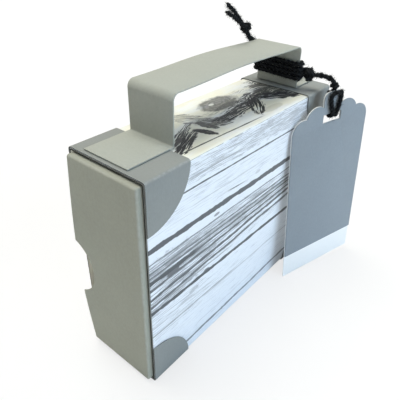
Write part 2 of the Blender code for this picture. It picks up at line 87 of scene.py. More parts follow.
# How fast a plank line of the print sways and frays along it, and what sets these noises apart
SWAY_RATE, FRAY_RATE = 5.0, 16.0
SWAY_SEED, FRAY_SEED = 370.0, 910.0

# Over how much of the print a line fades in and out, and the share of its width that is solid
FADE_IN, FADE_OUT = 0.06, 0.12
SOLID_SHARE = 0.72

# How soft the edge of a streak is, how ragged that of its window, and how close a knot's rings
STREAK_SOFT = 0.06
WINDOW_RAGGED = 1.8
RING_RATE = 24.0


class Body(str, Enum):
    """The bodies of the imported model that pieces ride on."""

    CASE = "case"
    TRAY = "tray"
    LEG_LEFT = "leg_left"
    LEG_RIGHT = "leg_right"
    GRIP = "grip"
    HITCH = "hitch"
    TAG = "tag"


class Element(str, Enum):
    """What is picked in edit mode."""

    FACE = "FACE"
    EDGE = "EDGE"


# Node building


class Tree:
    """A small helper that adds, sets and joins shader nodes."""

    def __init__(self, tree: NodeTree) -> None:
        """Keeps the tree that the nodes go in."""
        self.tree = tree

    def node(self, kind: str, values: dict | None = None, **settings: object) -> Node:
        """Adds a node.

        Args:
            kind: The node's type name.
            values: What to set on or join to its inputs, by name or place.
            settings: Properties of the node.

        Returns:
            The new node.
        """
        made = self.tree.nodes.new(kind)
        for name, value in settings.items():
            setattr(made, name, value)
        for name, value in (values or {}).items():
            self.feed(made.inputs[name], value)
        return made

    def feed(self, socket: NodeSocket, value: object) -> None:
        """Joins a socket to an output, or sets it to a constant.

        Args:
            socket: The input.
            value: A socket or a constant.
        """
        if isinstance(value, NodeSocket):
            self.tree.links.new(value, socket)
        else:
            socket.default_value = value

    def math(self, operation: str, *values: object) -> NodeSocket:
        """Adds a Math node and returns its output."""
        return self.node("ShaderNodeMath", dict(enumerate(values)), operation=operation).outputs[0]

    def add(self, a: object, b: object) -> NodeSocket:
        """Adds two numbers."""
        return self.math("ADD", a, b)

    def sub(self, a: object, b: object) -> NodeSocket:
        """Takes the second number from the first."""
        return self.math("SUBTRACT", a, b)

    def mul(self, a: object, b: object) -> NodeSocket:
        """Multiplies two numbers."""
        return self.math("MULTIPLY", a, b)

    def vector(self, x: object = 0.0, y: object = 0.0, z: object = 0.0) -> NodeSocket:
        """Joins three numbers into a vector."""
        return self.node("ShaderNodeCombineXYZ", {0: x, 1: y, 2: z}).outputs[0]

    def stretch(self, u: object, v: object, along: object, across: object, seed: object = 0.0) -> NodeSocket:
        """Scales a place of the print along and across it, and sets it apart by a seed."""
        return self.vector(self.mul(u, along), self.mul(v, across), seed)

    def split(self, vector: NodeSocket) -> Sequence[NodeSocket]:
        """Splits a vector into its three numbers."""
        return self.node("ShaderNodeSeparateXYZ", {0: vector}).outputs

    def noise(
        self, vector: object, scale: float = 1.0, detail: float = 3.0, rough: float = 0.55
    ) -> NodeSocket:
        """Adds a noise texture and returns its value."""
        values = {"Vector": vector, "Scale": scale, "Detail": detail, "Roughness": rough}
        return self.node("ShaderNodeTexNoise", values).outputs[0]

    def line_noise(self, value: object) -> NodeSocket:
        """Adds a noise along one number and returns its value."""
        values = {"W": value, "Scale": 1.0, "Detail": 3.0}
        return self.node("ShaderNodeTexNoise", values, noise_dimensions="1D").outputs["Fac"]

    def ramp(
        self, value: object, low: object, high: object, out_low: object = 0.0, out_high: object = 1.0
    ) -> NodeSocket:
        """Maps a value from one range to another along a smooth step."""
        values = {0: value, 1: low, 2: high, 3: out_low, 4: out_high}
        return self.node("ShaderNodeMapRange", values, interpolation_type="SMOOTHSTEP").outputs[0]

    def mix(self, factor: object, a: object, b: object) -> NodeSocket:
        """Mixes two colours.

        Args:
            factor: How much of the second colour there is.
            a: The first colour.
            b: The second colour.

        Returns:
            The socket that gives the mixed colour.
        """
        node = self.node("ShaderNodeMix", data_type="RGBA")
        for socket, value in zip((node.inputs[0], node.inputs[6], node.inputs[7]), (factor, a, b)):
            self.feed(socket, value)
        return node.outputs[2]

    def group(self, shared: NodeTree, **values: object) -> Node:
        """Places a shared group, with underscores in the input names for spaces.

        Args:
            shared: The group.
            values: What to set on or join to its inputs, by name.

        Returns:
            The group's node.
        """
        node = self.tree.nodes.new("ShaderNodeGroup")
        node.node_tree = shared
        for name, value in values.items():
            self.feed(node.inputs[name.replace("_", " ")], value)
        return node


def new_group(
    name: str, inputs: dict[str, str], outputs: dict[str, str]
) -> tuple[NodeTree, Tree, Mapping[str, NodeSocket], Mapping[str, NodeSocket]]:
    """Makes an empty shader group with named sockets.

    Args:
        name: The group's name.
        inputs: Socket kinds by input name.
        outputs: Socket kinds by output name.

    Returns:
        The group, its node helper, and the sockets of its inputs and outputs by name.
    """
    made = bpy.data.node_groups.new(name, "ShaderNodeTree")
    for way, sockets in (("INPUT", inputs), ("OUTPUT", outputs)):
        for label, kind in sockets.items():
            made.interface.new_socket(label, in_out=way, socket_type="NodeSocket" + kind)
    tree = Tree(made)
    start, end = tree.node("NodeGroupInput"), tree.node("NodeGroupOutput")
    return made, tree, start.outputs, end.inputs


def card_grain_group() -> NodeTree:
    """Soft mottling and fibre flecks of uncoated card.

    Returns:
        The group.
    """
    made, t, given, out = new_group(
        "Card grain",
        {"Vector": "Vector", "Colour": "Color", "Fleck": "Float", "Mottle": "Float"},
        {"Colour": "Color", "Height": "Float", "Roughness": "Float"},
    )
    broad = t.noise(given["Vector"], scale=55.0, detail=4.0, rough=0.6)
    fine = t.noise(given["Vector"], scale=900.0, rough=0.7)
    stretched = t.node("ShaderNodeMapping", {"Vector": given["Vector"], "Scale": (2600.0, 900.0, 700.0)})
    fibre = t.noise(stretched.outputs[0], detail=2.0, rough=0.6)
    light = t.math("MULTIPLY_ADD", t.sub(broad, 0.5), given["Mottle"], 1.0)
    fleck = t.sub(t.add(fine, fibre), 1.0)
    light = t.math("MULTIPLY_ADD", fleck, given["Fleck"], light)
    scaled = t.node("ShaderNodeVectorMath", {0: given["Colour"], "Scale": light}, operation="SCALE")
    t.feed(out["Colour"], scaled.outputs[0])
    t.feed(out["Height"], t.add(fine, t.mul(fibre, 0.7)))
    t.feed(out["Roughness"], t.ramp(fine, 0.25, 0.75, out_low=0.72, out_high=0.86))
    return made


def fold_wear_group() -> NodeTree:
    """A broken light line where card is folded or handled.

    Returns:
        The group.
    """
    made, t, given, out = new_group(
        "Fold wear", {"Vector": "Vector", "Distance": "Float", "Width": "Float"}, {"Mask": "Float"}
    )
    near = t.ramp(given["Distance"], given["Width"], 0.0)
    broken = t.ramp(t.noise(given["Vector"], scale=420.0, detail=4.0, rough=0.7), 0.36, 0.62)
    t.feed(out["Mask"], t.mul(near, broken))
    return made


def plank_line_group() -> NodeTree:
    """One dark line of the print, such as the gap between two planks.

    Returns:
        The group.
    """
    names = ("U", "V", "Height", "Slope", "Width", "Wobble", "From", "To", "Strength")
    made, t, given, out = new_group("Plank line", {n: "Float" for n in names}, {"Mask": "Float"})
    sway = t.line_noise(t.math("MULTIPLY_ADD", given["Height"], SWAY_SEED, t.mul(given["U"], SWAY_RATE)))
    line = t.math("MULTIPLY_ADD", given["U"], given["Slope"], given["Height"])
    line = t.math("MULTIPLY_ADD", t.sub(sway, 0.5), given["Wobble"], line)
    away = t.math("ABSOLUTE", t.sub(given["V"], line))
    fray = t.line_noise(t.math("MULTIPLY_ADD", given["Height"], FRAY_SEED, t.mul(given["U"], FRAY_RATE)))
    width = t.mul(given["Width"], t.ramp(fray, 0.3, 0.7, out_low=0.9, out_high=1.35))
    mask = t.ramp(away, width, t.mul(width, SOLID_SHARE))
    mask = t.mul(mask, t.ramp(given["U"], given["From"], t.add(given["From"], FADE_IN)))
    mask = t.mul(mask, t.ramp(given["U"], given["To"], t.sub(given["To"], FADE_OUT)))
    t.feed(out["Mask"], t.mul(mask, given["Strength"]))
    return made


def grain_streak_group() -> NodeTree:
    """Streaks of weathered grain inside an oval window of the print.

    Returns:
        The group.
    """
    names = (
        "U", "V", "Middle U", "Middle V", "Reach U", "Reach V", "Slope", "Lines", "Stretch",
        "Cover", "Seed", "Warp",
    )
    made, t, given, out = new_group("Grain streaks", {n: "Float" for n in names}, {"Mask": "Float"})
    du = t.sub(given["U"], given["Middle U"])
    dv = t.sub(given["V"], given["Middle V"])
    warp = t.noise(t.stretch(du, dv, along=9.0, across=14.0, seed=given["Seed"]), detail=2.0)
    warp = t.mul(t.sub(warp, 0.5), given["Warp"])
    tilted = t.add(t.sub(dv, t.mul(du, given["Slope"])), warp)
    place = t.stretch(du, tilted, given["Stretch"], given["Lines"], given["Seed"])
    streak = t.noise(place, rough=0.6)
    level = t.sub(1.0, given["Cover"])
    low = t.math("MULTIPLY_ADD", level, 0.5, 0.25)
    streak = t.ramp(streak, low, t.add(low, STREAK_SOFT))
    ou = t.math("DIVIDE", du, given["Reach U"])
    ov = t.math("DIVIDE", tilted, given["Reach V"])
    far = t.add(t.mul(ou, ou), t.mul(ov, ov))
    edge = t.noise(t.stretch(du, dv, along=26.0, across=60.0, seed=given["Seed"]))
    far = t.math("MULTIPLY_ADD", t.sub(edge, 0.5), WINDOW_RAGGED, far)
    t.feed(out["Mask"], t.mul(streak, t.ramp(far, 1.1, 0.7)))
    return made


def ink_spot_group() -> NodeTree:
    """A ragged dark spot of the print, such as a knot.

    Returns:
        The group.
    """
    names = ("U", "V", "Middle U", "Middle V", "Reach U", "Reach V", "Ragged", "Rings", "Strength")
    made, t, given, out = new_group("Ink spot", {n: "Float" for n in names}, {"Mask": "Float"})
    du = t.sub(given["U"], given["Middle U"])
    dv = t.sub(given["V"], given["Middle V"])
    ou, ov = t.math("DIVIDE", du, given["Reach U"]), t.math("DIVIDE", dv, given["Reach V"])
    far = t.math("SQRT", t.add(t.mul(ou, ou), t.mul(ov, ov)))
    edge = t.noise(t.stretch(du, dv, along=18.0, across=30.0), detail=4.0, rough=0.65)
    far = t.math("MULTIPLY_ADD", t.sub(edge, 0.5), given["Ragged"], far)
    ring = t.math("SINE", t.mul(far, RING_RATE))
    ring = t.sub(1.0, t.mul(t.ramp(ring, -0.4, 0.8), given["Rings"]))
    mask = t.mul(t.ramp(far, 1.05, 0.75), ring)
    t.feed(out["Mask"], t.mul(mask, given["Strength"]))
    return made


@dataclass(frozen=True)
class CardFinish:
    """Matte coloured card.

    Attributes:
        name: The material's name.
        colour: Its base colour.
        worn: The colour of its worn folds.
        fleck: How much the fibres change its colour.
        mottle: How much it varies over a few millimetres.
        bump: How strongly its surface grain shows.
        glow: How much it glows by itself, a painted light that makes it look lit though it is no lamp.
        wear_width: How wide a worn fold is.
        wear_share: How much of the worn colour shows there.
        specular: How much it mirrors.
        grain_depth: How deep that grain is.
    """

    name: str
    colour: Point
    worn: Point
    fleck: float = 0.16
    mottle: float = 0.12
    bump: float = 0.12
    glow: float = 0.0
    wear_width: float = 0.0011
    wear_share: float = 0.55
    specular: float = 0.32
    grain_depth: float = 0.0001

    def build(self, distance: Callable[[Tree, Sequence], NodeSocket] | None = None) -> Material:
        """Makes the material.

        Args:
            distance: Gives the distance to the nearest fold from the place's three numbers.

        Returns:
            The material.
        """
        made, t, shader = new_material(self.name)
        place = t.node("ShaderNodeTexCoord").outputs["Object"]
        grain = t.group(
            SHARED["grain"], Vector=place, Colour=(*self.colour, 1), Fleck=self.fleck, Mottle=self.mottle
        )
        colour = grain.outputs["Colour"]
        if distance:
            away = distance(t, t.split(place))
            wear = t.group(SHARED["wear"], Vector=place, Distance=away, Width=self.wear_width)
            colour = t.mix(t.mul(wear.outputs[0], self.wear_share), colour, (*self.worn, 1))
        t.feed(shader.inputs["Base Color"], colour)
        t.feed(shader.inputs["Roughness"], grain.outputs["Roughness"])
        bump = {"Height": grain.outputs["Height"], "Strength": self.bump, "Distance": self.grain_depth}
        t.feed(shader.inputs["Normal"], t.node("ShaderNodeBump", bump).outputs[0])
        shader.inputs["Specular IOR Level"].default_value = self.specular
        # Painted light: the card's own colour is added as emission, so the face looks lit where no lamp
        # reaches it.
        if self.glow:
            t.feed(shader.inputs["Emission Color"], colour)
            shader.inputs["Emission Strength"].default_value = self.glow
        return made


@dataclass(frozen=True)
class PlankLine:
    """One dark line along the print, its places and sizes in units of 100 mm.

    Attributes:
        height: Where it crosses the print's left end.
        slope: How much it rises to the right.
        width: Its half width.
        wobble: How far it wanders.
        start: Where it begins.
        end: Where it fades out.
        strength: How dark it is.
    """

    height: float
    slope: float
    width: float
    wobble: float
    start: float
    end: float
    strength: float


@dataclass(frozen=True)
class GrainWindow:
    """An oval window of weathered streaks, its places and sizes in units of 100 mm.

    Attributes:
        middle: Its middle.
        reach: How far it reaches along and across.
        slope: How much its streaks rise to the right.
        lines: How many streaks there are across one unit.
        stretch: How many breaks there are along one unit.
        cover: How much of it is streaked.
        seed: What sets it apart from the other windows.
        strength: How dark it is.
        warp: How far its streaks bend.
    """

    middle: tuple[float, float]
    reach: tuple[float, float]
    slope: float
    lines: float
    stretch: float
    cover: float
    seed: float
    strength: float
    warp: float = 0.01


@dataclass(frozen=True)
class InkSpot:
    """A knot or a stain, its places and sizes in units of 100 mm.

    Attributes:
        middle: Its middle.
        reach: How far it reaches along and across.
        ragged: How uneven its edge is.
        strength: How dark it is, or below zero how much it lightens.
        rings: How much its growth rings show.
    """

    middle: tuple[float, float]
    reach: tuple[float, float]
    ragged: float
    strength: float
    rings: float = 0.0


@dataclass(frozen=True)
class WoodPrint:
    """One face of the paper printed with a pattern of whitewashed planks.

    Attributes:
        name: The material's name.
        lines: Its plank gaps and long grain lines.
        streaks: Its windows of streaks.
        spots: Its knots and stains.
        warmth: How much of it is tinted cream.
        paper: The pale wood's colour.
        cool: The colour of its faint grain.
        ink: The colour of its dark grain.
        cream: The tint of its warm places.
        faint_share: How much of the faint grain's colour shows.
    """

    name: str
    lines: tuple[PlankLine, ...]
    streaks: tuple[GrainWindow, ...]
    spots: tuple[InkSpot, ...]
    warmth: float = 0.0
    paper: Point = (0.82, 0.86, 0.91)
    cool: Point = (0.55, 0.60, 0.72)
    ink: Point = (0.022, 0.026, 0.031)
    cream: Point = (0.80, 0.78, 0.66)
    faint_share: float = 0.62

    def build(self) -> Material:
        """Makes the material on the piece's own "print" UV map.

        Returns:
            The material.
        """
        made, t, shader = new_material(self.name)
        u, v, _ = t.split(t.node("ShaderNodeUVMap", uv_map="print").outputs[0])
        dark = self.pattern(t, u, v)
        faint = t.noise(t.stretch(u, v, along=12.0, across=330.0), rough=0.6)
        faint = t.ramp(faint, 0.52, 0.72)
        broad = t.noise(t.stretch(u, v, along=4.0, across=14.0, seed=3.0))
        colour = t.mix(t.mul(faint, self.faint_share), (*self.paper, 1), (*self.cool, 1))
        warm = t.mul(t.ramp(broad, 0.35, 0.6, out_low=0.35), self.warmth)
        colour = t.mix(warm, colour, (*self.cream, 1))
        colour = t.mix(dark, colour, (*self.ink, 1))
        t.feed(shader.inputs["Base Color"], colour)
        fine = t.noise(t.node("ShaderNodeTexCoord").outputs["Object"], scale=1400.0, rough=0.6)
        t.feed(shader.inputs["Roughness"], t.ramp(fine, 0.3, 0.7, out_low=0.46, out_high=0.6))
        bump = {"Height": fine, "Strength": 0.06, "Distance": 0.00005}
        t.feed(shader.inputs["Normal"], t.node("ShaderNodeBump", bump).outputs[0])
        return made

    def pattern(self, t: Tree, u: NodeSocket, v: NodeSocket) -> NodeSocket:
        """Works out how dark the print is at a place, from its lines, streaks and spots.

        Args:
            t: The material's node helper.
            u: The place along the box.
            v: The place up the front, across the top and down the back.

        Returns:
            The socket that gives the darkness.
        """
        dark: object = 0.0
        for line in self.lines:
            mark = t.group(
                SHARED["line"], U=u, V=v, Height=line.height, Slope=line.slope, Width=line.width,
                Wobble=line.wobble, From=line.start, To=line.end, Strength=line.strength,
            )
            dark = t.math("MAXIMUM", dark, mark.outputs[0])
        for window in self.streaks:
            mark = t.group(
                SHARED["streak"], U=u, V=v, Middle_U=window.middle[0], Middle_V=window.middle[1],
                Reach_U=window.reach[0], Reach_V=window.reach[1], Slope=window.slope, Lines=window.lines,
                Stretch=window.stretch, Cover=window.cover, Seed=window.seed, Warp=window.warp,
            )
            dark = t.math("MAXIMUM", dark, t.mul(mark.outputs[0], window.strength))
        for spot in self.spots:
            mark = t.group(
                SHARED["spot"], U=u, V=v, Middle_U=spot.middle[0], Middle_V=spot.middle[1],
                Reach_U=spot.reach[0], Reach_V=spot.reach[1], Ragged=spot.ragged, Rings=spot.rings,
                Strength=abs(spot.strength),
            )
            if spot.strength > 0:
                dark = t.math("MAXIMUM", dark, mark.outputs[0])
            else:
                dark = t.mul(dark, t.sub(1.0, mark.outputs[0]))
        return dark


FRONT_PRINT = WoodPrint(
    "wood_print_front",
    lines=(
        PlankLine(0.993, 0.000, 0.0045, 0.004, 0.18, 1.3, 0.80),
        PlankLine(0.962, -0.012, 0.0028, 0.008, 0.40, 1.2, 0.35),
        PlankLine(0.922, -0.005, 0.0034, 0.006, 0.18, 0.60, 0.50),
        PlankLine(0.879, -0.013, 0.0036, 0.004, 0.14, 1.3, 0.90),
        PlankLine(0.797, 0.002, 0.0024, 0.006, 0.20, 0.75, 0.30),
        PlankLine(0.783, -0.055, 0.0030, 0.004, 0.43, 0.62, 0.85),
        PlankLine(0.717, -0.003, 0.0125, 0.009, -0.1, 1.3, 0.90),
        PlankLine(0.657, 0.002, 0.0034, 0.006, -0.1, 1.3, 0.72),
        PlankLine(0.642, 0.003, 0.0022, 0.005, -0.1, 0.80, 0.50),
        PlankLine(0.631, 0.004, 0.0020, 0.005, -0.1, 0.60, 0.40),
        PlankLine(0.617, 0.003, 0.0044, 0.007, -0.1, 1.3, 0.78),
        PlankLine(0.606, 0.003, 0.0020, 0.007, -0.1, 0.70, 0.45),
        PlankLine(0.596, 0.004, 0.0056, 0.008, -0.1, 1.1, 0.80),
        PlankLine(0.583, 0.010, 0.0026, 0.008, 0.20, 1.3, 0.50),
        PlankLine(0.566, 0.016, 0.0060, 0.010, 0.12, 1.3, 0.85),
        PlankLine(0.568, 0.004, 0.0120, 0.006, -0.1, 0.36, 0.92),
        PlankLine(0.548, 0.020, 0.0026, 0.010, 0.15, 1.2, 0.50),
        PlankLine(0.532, 0.020, 0.0066, 0.012, -0.1, 1.3, 0.86),
        PlankLine(0.514, 0.028, 0.0030, 0.012, 0.25, 1.0, 0.45),
        PlankLine(0.484, 0.044, 0.0080, 0.012, -0.1, 1.3, 0.88),
        PlankLine(0.462, 0.046, 0.0026, 0.012, 0.10, 0.60, 0.40),
        PlankLine(0.446, 0.048, 0.0074, 0.014, -0.1, 1.3, 0.85),
        PlankLine(0.430, 0.030, 0.0034, 0.012, -0.1, 0.55, 0.55),
        PlankLine(0.410, -0.012, 0.0092, 0.007, -0.1, 1.3, 0.92),
        PlankLine(0.345, -0.070, 0.0035, 0.010, 0.05, 0.45, 0.30),
        PlankLine(0.279, -0.007, 0.0046, 0.010, -0.1, 0.60, 0.50),
        PlankLine(0.268, -0.003, 0.0050, 0.010, 0.30, 1.3, 0.28),
        PlankLine(0.125, 0.004, 0.0030, 0.012, 0.25, 0.8, 0.20),
        PlankLine(0.062, 0.022, 0.0076, 0.008, 0.10, 1.3, 0.72),
    ),
    streaks=(
        GrainWindow((0.45, 0.600), (0.80, 0.065), 0.01, 330.0, 6.0, 0.52, 1.0, 0.55, 0.004),
        GrainWindow((0.45, 0.490), (0.85, 0.070), 0.04, 260.0, 6.0, 0.40, 2.0, 0.45, 0.006),
        GrainWindow((0.55, 0.940), (0.60, 0.050), 0.00, 300.0, 9.0, 0.52, 3.0, 0.46, 0.008),
        GrainWindow((0.95, 0.935), (0.35, 0.060), -0.03, 280.0, 9.0, 0.52, 4.0, 0.40, 0.008),
        GrainWindow((0.10, 0.530), (0.30, 0.140), 0.02, 190.0, 5.0, 0.56, 21.0, 0.62, 0.006),
        GrainWindow((0.08, 0.330), (0.36, 0.090), -0.05, 170.0, 5.0, 0.46, 22.0, 0.34, 0.010),
        GrainWindow((0.50, 0.815), (0.75, 0.070), 0.00, 210.0, 7.0, 0.44, 23.0, 0.20, 0.008),
        GrainWindow((0.50, 0.200), (0.80, 0.170), 0.01, 240.0, 7.0, 0.36, 5.0, 0.24, 0.008),
    ),
    spots=(
        InkSpot((0.125, 0.553), (0.040, 0.026), 0.8, 0.84),
        InkSpot((0.385, 0.680), (0.020, 0.008), 0.7, 0.60),
        InkSpot((0.250, 0.362), (0.034, 0.013), 0.9, 0.45, 0.5),
        InkSpot((0.670, 0.757), (0.022, 0.009), 0.9, 0.26),
        InkSpot((0.095, 0.608), (0.018, 0.008), 0.8, 0.60),
        InkSpot((0.330, 0.413), (0.022, 0.013), 0.9, 0.80),
    ),
)
TOP_PRINT = WoodPrint(
    "wood_print_top",
    lines=(
        PlankLine(0.997, 0.000, 0.0030, 0.004, 0.18, 1.3, 0.60),
        PlankLine(1.066, -0.048, 0.0034, 0.003, 0.18, 0.75, 0.92),
    ),
    streaks=(
        GrainWindow((0.345, 1.160), (0.120, 0.022), 0.43, 150.0, 7.0, 0.66, 6.0, 0.95, 0.03),
        GrainWindow((0.305, 1.100), (0.105, 0.030), 0.43, 120.0, 8.0, 0.70, 7.0, 1.0, 0.03),
        GrainWindow((0.425, 1.110), (0.026, 0.042), -1.50, 70.0, 22.0, 0.84, 8.0, 1.0, 0.05),
        GrainWindow((0.475, 1.140), (0.024, 0.046), -1.00, 90.0, 22.0, 0.80, 18.0, 0.90, 0.05),
        GrainWindow((0.530, 1.140), (0.070, 0.055), -0.45, 120.0, 12.0, 0.62, 9.0, 0.92, 0.05),
        GrainWindow((0.480, 1.215), (0.070, 0.085), -0.90, 130.0, 11.0, 0.60, 10.0, 0.72, 0.06),
        GrainWindow((0.680, 1.145), (0.180, 0.045), 0.08, 150.0, 7.0, 0.68, 11.0, 1.0, 0.05),
        GrainWindow((0.800, 1.135), (0.090, 0.060), 0.90, 105.0, 9.0, 0.66, 12.0, 1.0, 0.03),
        GrainWindow((0.960, 1.125), (0.100, 0.055), -0.60, 105.0, 9.0, 0.70, 14.0, 1.0, 0.03),
        GrainWindow((0.890, 1.190), (0.220, 0.045), 0.10, 150.0, 10.0, 0.66, 15.0, 0.92, 0.08),
        GrainWindow((0.780, 1.240), (0.260, 0.055), 0.15, 140.0, 8.0, 0.42, 16.0, 0.42, 0.06),
        GrainWindow((1.080, 1.190), (0.160, 0.130), -0.20, 110.0, 9.0, 0.64, 17.0, 0.90, 0.08),
    ),
    spots=(
        InkSpot((0.692, 1.255), (0.128, 0.068), 0.9, 0.80, 0.16),
        InkSpot((0.700, 1.215), (0.100, 0.022), 0.9, 0.90, 0.10),
        InkSpot((1.120, 1.200), (0.100, 0.110), 0.8, 0.50),
        InkSpot((0.820, 1.052), (0.080, 0.024), 0.8, 0.20),
        InkSpot((0.658, 1.268), (0.018, 0.010), 0.7, -0.8),
    ),
    ink=(0.009, 0.010, 0.013),
    warmth=1.0,
)
BACK_PRINT = WoodPrint(
    "wood_print_back",
    lines=(
        PlankLine(1.402, 0.000, 0.0040, 0.004, -0.1, 1.3, 0.70),
        PlankLine(1.500, 0.004, 0.0036, 0.006, -0.1, 1.3, 0.75),
        PlankLine(1.662, -0.004, 0.0090, 0.008, -0.1, 1.3, 0.86),
        PlankLine(1.735, 0.006, 0.0040, 0.012, -0.1, 0.8, 0.45),
        PlankLine(1.790, 0.020, 0.0055, 0.014, 0.2, 1.3, 0.50),
        PlankLine(1.884, -0.006, 0.0080, 0.006, -0.1, 1.3, 0.88),
        PlankLine(2.030, 0.004, 0.0036, 0.010, -0.1, 0.9, 0.40),
        PlankLine(2.120, -0.003, 0.0095, 0.008, -0.1, 1.3, 0.86),
        PlankLine(2.300, 0.006, 0.0050, 0.006, -0.1, 1.3, 0.78),
        PlankLine(2.560, -0.006, 0.0090, 0.006, -0.1, 1.3, 0.84),
    ),
    streaks=(
        GrainWindow((0.60, 1.760), (0.80, 0.080), 0.01, 300.0, 7.0, 0.56, 13.0, 0.60),
        GrainWindow((0.60, 2.000), (0.80, 0.100), 0.01, 260.0, 7.0, 0.46, 14.0, 0.45),
        GrainWindow((0.60, 2.550), (0.80, 0.150), 0.01, 260.0, 7.0, 0.46, 15.0, 0.45),
    ),
    spots=(
        InkSpot((0.350, 1.790), (0.050, 0.020), 0.8, 0.65),
        InkSpot((0.900, 2.010), (0.040, 0.016), 0.8, 0.55),
    ),
)


@dataclass(frozen=True)
class TwineFinish:
    """Black fibre, a little lighter where the hairs catch the light.

    Attributes:
        name: The material's name.
        deep: The fibre's colour.
        sheen: The colour of its lighter hairs.
        specular: How much it mirrors.
    """

    name: str = "black_twine_yarn"
    deep: Point = (0.004, 0.0045, 0.005)
    sheen: Point = (0.022, 0.025, 0.030)
    specular: float = 0.2

    def build(self) -> Material:
        """Makes the material on Object coordinates.

        Returns:
            The material.
        """
        made, t, shader = new_material(self.name)
        place = t.node("ShaderNodeTexCoord").outputs["Object"]
        fibre = t.noise(place, scale=5200.0, rough=0.7)
        light = t.ramp(fibre, 0.4, 0.75)
        t.feed(shader.inputs["Base Color"], t.mix(light, (*self.deep, 1), (*self.sheen, 1)))
        t.feed(shader.inputs["Roughness"], t.ramp(fibre, 0.3, 0.7, out_low=0.8))
        bump = {"Height": fibre, "Strength": 0.5, "Distance": 0.0001}
        t.feed(shader.inputs["Normal"], t.node("ShaderNodeBump", bump).outputs[0])
        shader.inputs["Specular IOR Level"].default_value = self.specular
        return made


def new_material(name: str) -> tuple[Material, Tree, Node]:
    """Makes a material and gives it back with its node helper and its shader.

    Args:
        name: The material's name.

    Returns:
        The material, its node helper and its Principled shader.
    """
    made = bpy.data.materials.new(name)
    made.use_nodes = True
    return made, Tree(made.node_tree), made.node_tree.nodes["Principled BSDF"]


SHARED: dict[str, NodeTree] = {}


# Mesh building


class Bench:
    """The modelling moves that the pieces share."""

    @staticmethod
    def clear() -> None:
        """Deselects everything."""
        if bpy.context.object and bpy.context.object.mode != "OBJECT":
            bpy.ops.object.mode_set(mode="OBJECT")
        bpy.ops.object.select_all(action="DESELECT")

    @staticmethod
    def activate(obj: Object) -> None:
        """Selects one object alone and makes it active.

        Args:
            obj: The object.
        """
        Bench.clear()
        obj.select_set(True)
        bpy.context.view_layer.objects.active = obj

    @staticmethod
    def block(name: str, low: Vector, high: Vector) -> Object:
        """Starts a piece as a block between two corners, with its place in its mesh.

        Args:
            name: The piece's name.
            low: Its lowest corner.
            high: Its highest corner.

        Returns:
            The piece.
        """
        Bench.clear()
        bpy.ops.mesh.primitive_cube_add(size=1, location=(low + high) / 2)
        made = bpy.context.object
        made.name = name
        made.scale = high - low
        bpy.ops.object.transform_apply(location=True, rotation=True, scale=True)
        return made

    @staticmethod
    def pick(obj: Object, kind: Element, test: Callable[[object], bool]) -> None:
        """Enters edit mode with only the faces or edges that pass a test selected.

        Args:
            obj: The piece.
            kind: Whether faces or edges are picked.
            test: Whether one of them is selected.
        """
        Bench.activate(obj)
        bpy.ops.object.mode_set(mode="EDIT")
        bpy.ops.mesh.select_mode(type=kind.value)
        bpy.ops.mesh.select_all(action="DESELECT")
        bm = bmesh.from_edit_mesh(obj.data)
        for element in bm.faces if kind is Element.FACE else bm.edges:
            element.select = test(element)
        bmesh.update_edit_mesh(obj.data)

    @staticmethod
    def done() -> None:
        """Leaves edit mode."""
        bpy.ops.object.mode_set(mode="OBJECT")

    @staticmethod
    def apply(obj: Object, kind: str, **settings: object) -> None:
        """Adds a modifier with its settings and applies it.

        Args:
            obj: The piece.
            kind: The modifier's type.
            settings: What is set on it.
        """
        Bench.activate(obj)
        made = obj.modifiers.new(kind.lower(), kind)
        for name, value in settings.items():
            setattr(made, name, value)
        bpy.ops.object.modifier_apply(modifier=made.name)

    @staticmethod
    def smooth(obj: Object) -> None:
        """Shades a piece smooth, apart from its sharp edges."""
        Bench.activate(obj)
        bpy.ops.object.shade_smooth_by_angle(angle=SHARP_ANGLE)

    @staticmethod
    def copy_node(node: str, name: str, edge: float = 0.0) -> Object:
        """Copies a CAD node's mesh, merges its loose triangles and softens its cut edges.

        Args:
            node: The CAD node's name.
            name: The new piece's name.
            edge: How wide the softened edges are.

        Returns:
            The new piece, which replaces the node.
        """
        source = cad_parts[node]
        made = bpy.data.objects.new(name, source.data.copy())
        bpy.context.scene.collection.objects.link(made)
        made.data.materials.clear()
        Bench.activate(made)
        bpy.ops.object.mode_set(mode="EDIT")
        bpy.ops.mesh.select_all(action="SELECT")
        bpy.ops.mesh.remove_doubles(threshold=MERGE)
        bpy.ops.mesh.dissolve_limited(angle_limit=FLAT_ANGLE)
        Bench.done()
        if edge:
            cut_edges = {"limit_method": "ANGLE", "angle_limit": CUT_ANGLE}
            Bench.apply(made, "BEVEL", width=edge, segments=EDGE_STEPS, **cut_edges)
        Bench.smooth(made)
        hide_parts(node)
        return made

    @staticmethod
    def dress(obj: Object, material: Material, body: Body | None, slot: str) -> Object:
        """Gives a piece its material and the body it rides on.

        Args:
            obj: The piece.
            material: Its material.
            body: The body, or None to leave it unattached.
            slot: Not used.

        Returns:
            The piece.
        """
        obj.data.materials.clear()
        obj.data.materials.append(material)
        if body is not None:
            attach(obj, body.value)
        LOG.info("built %s", obj.name)
        return obj


# The box


@dataclass(frozen=True)
class BoxPlaces:
    """The places that the box's pieces share, in metres."""

    left: float = -0.0606
    right: float = 0.0654
    front: float = -0.0193
    back: float = 0.0193
    height: float = 0.100
    fold: float = 0.0013
    tray_left: float = -0.0630
    tray_front: float = -0.01775
    tray_half: float = 0.04845


BOX = BoxPlaces()


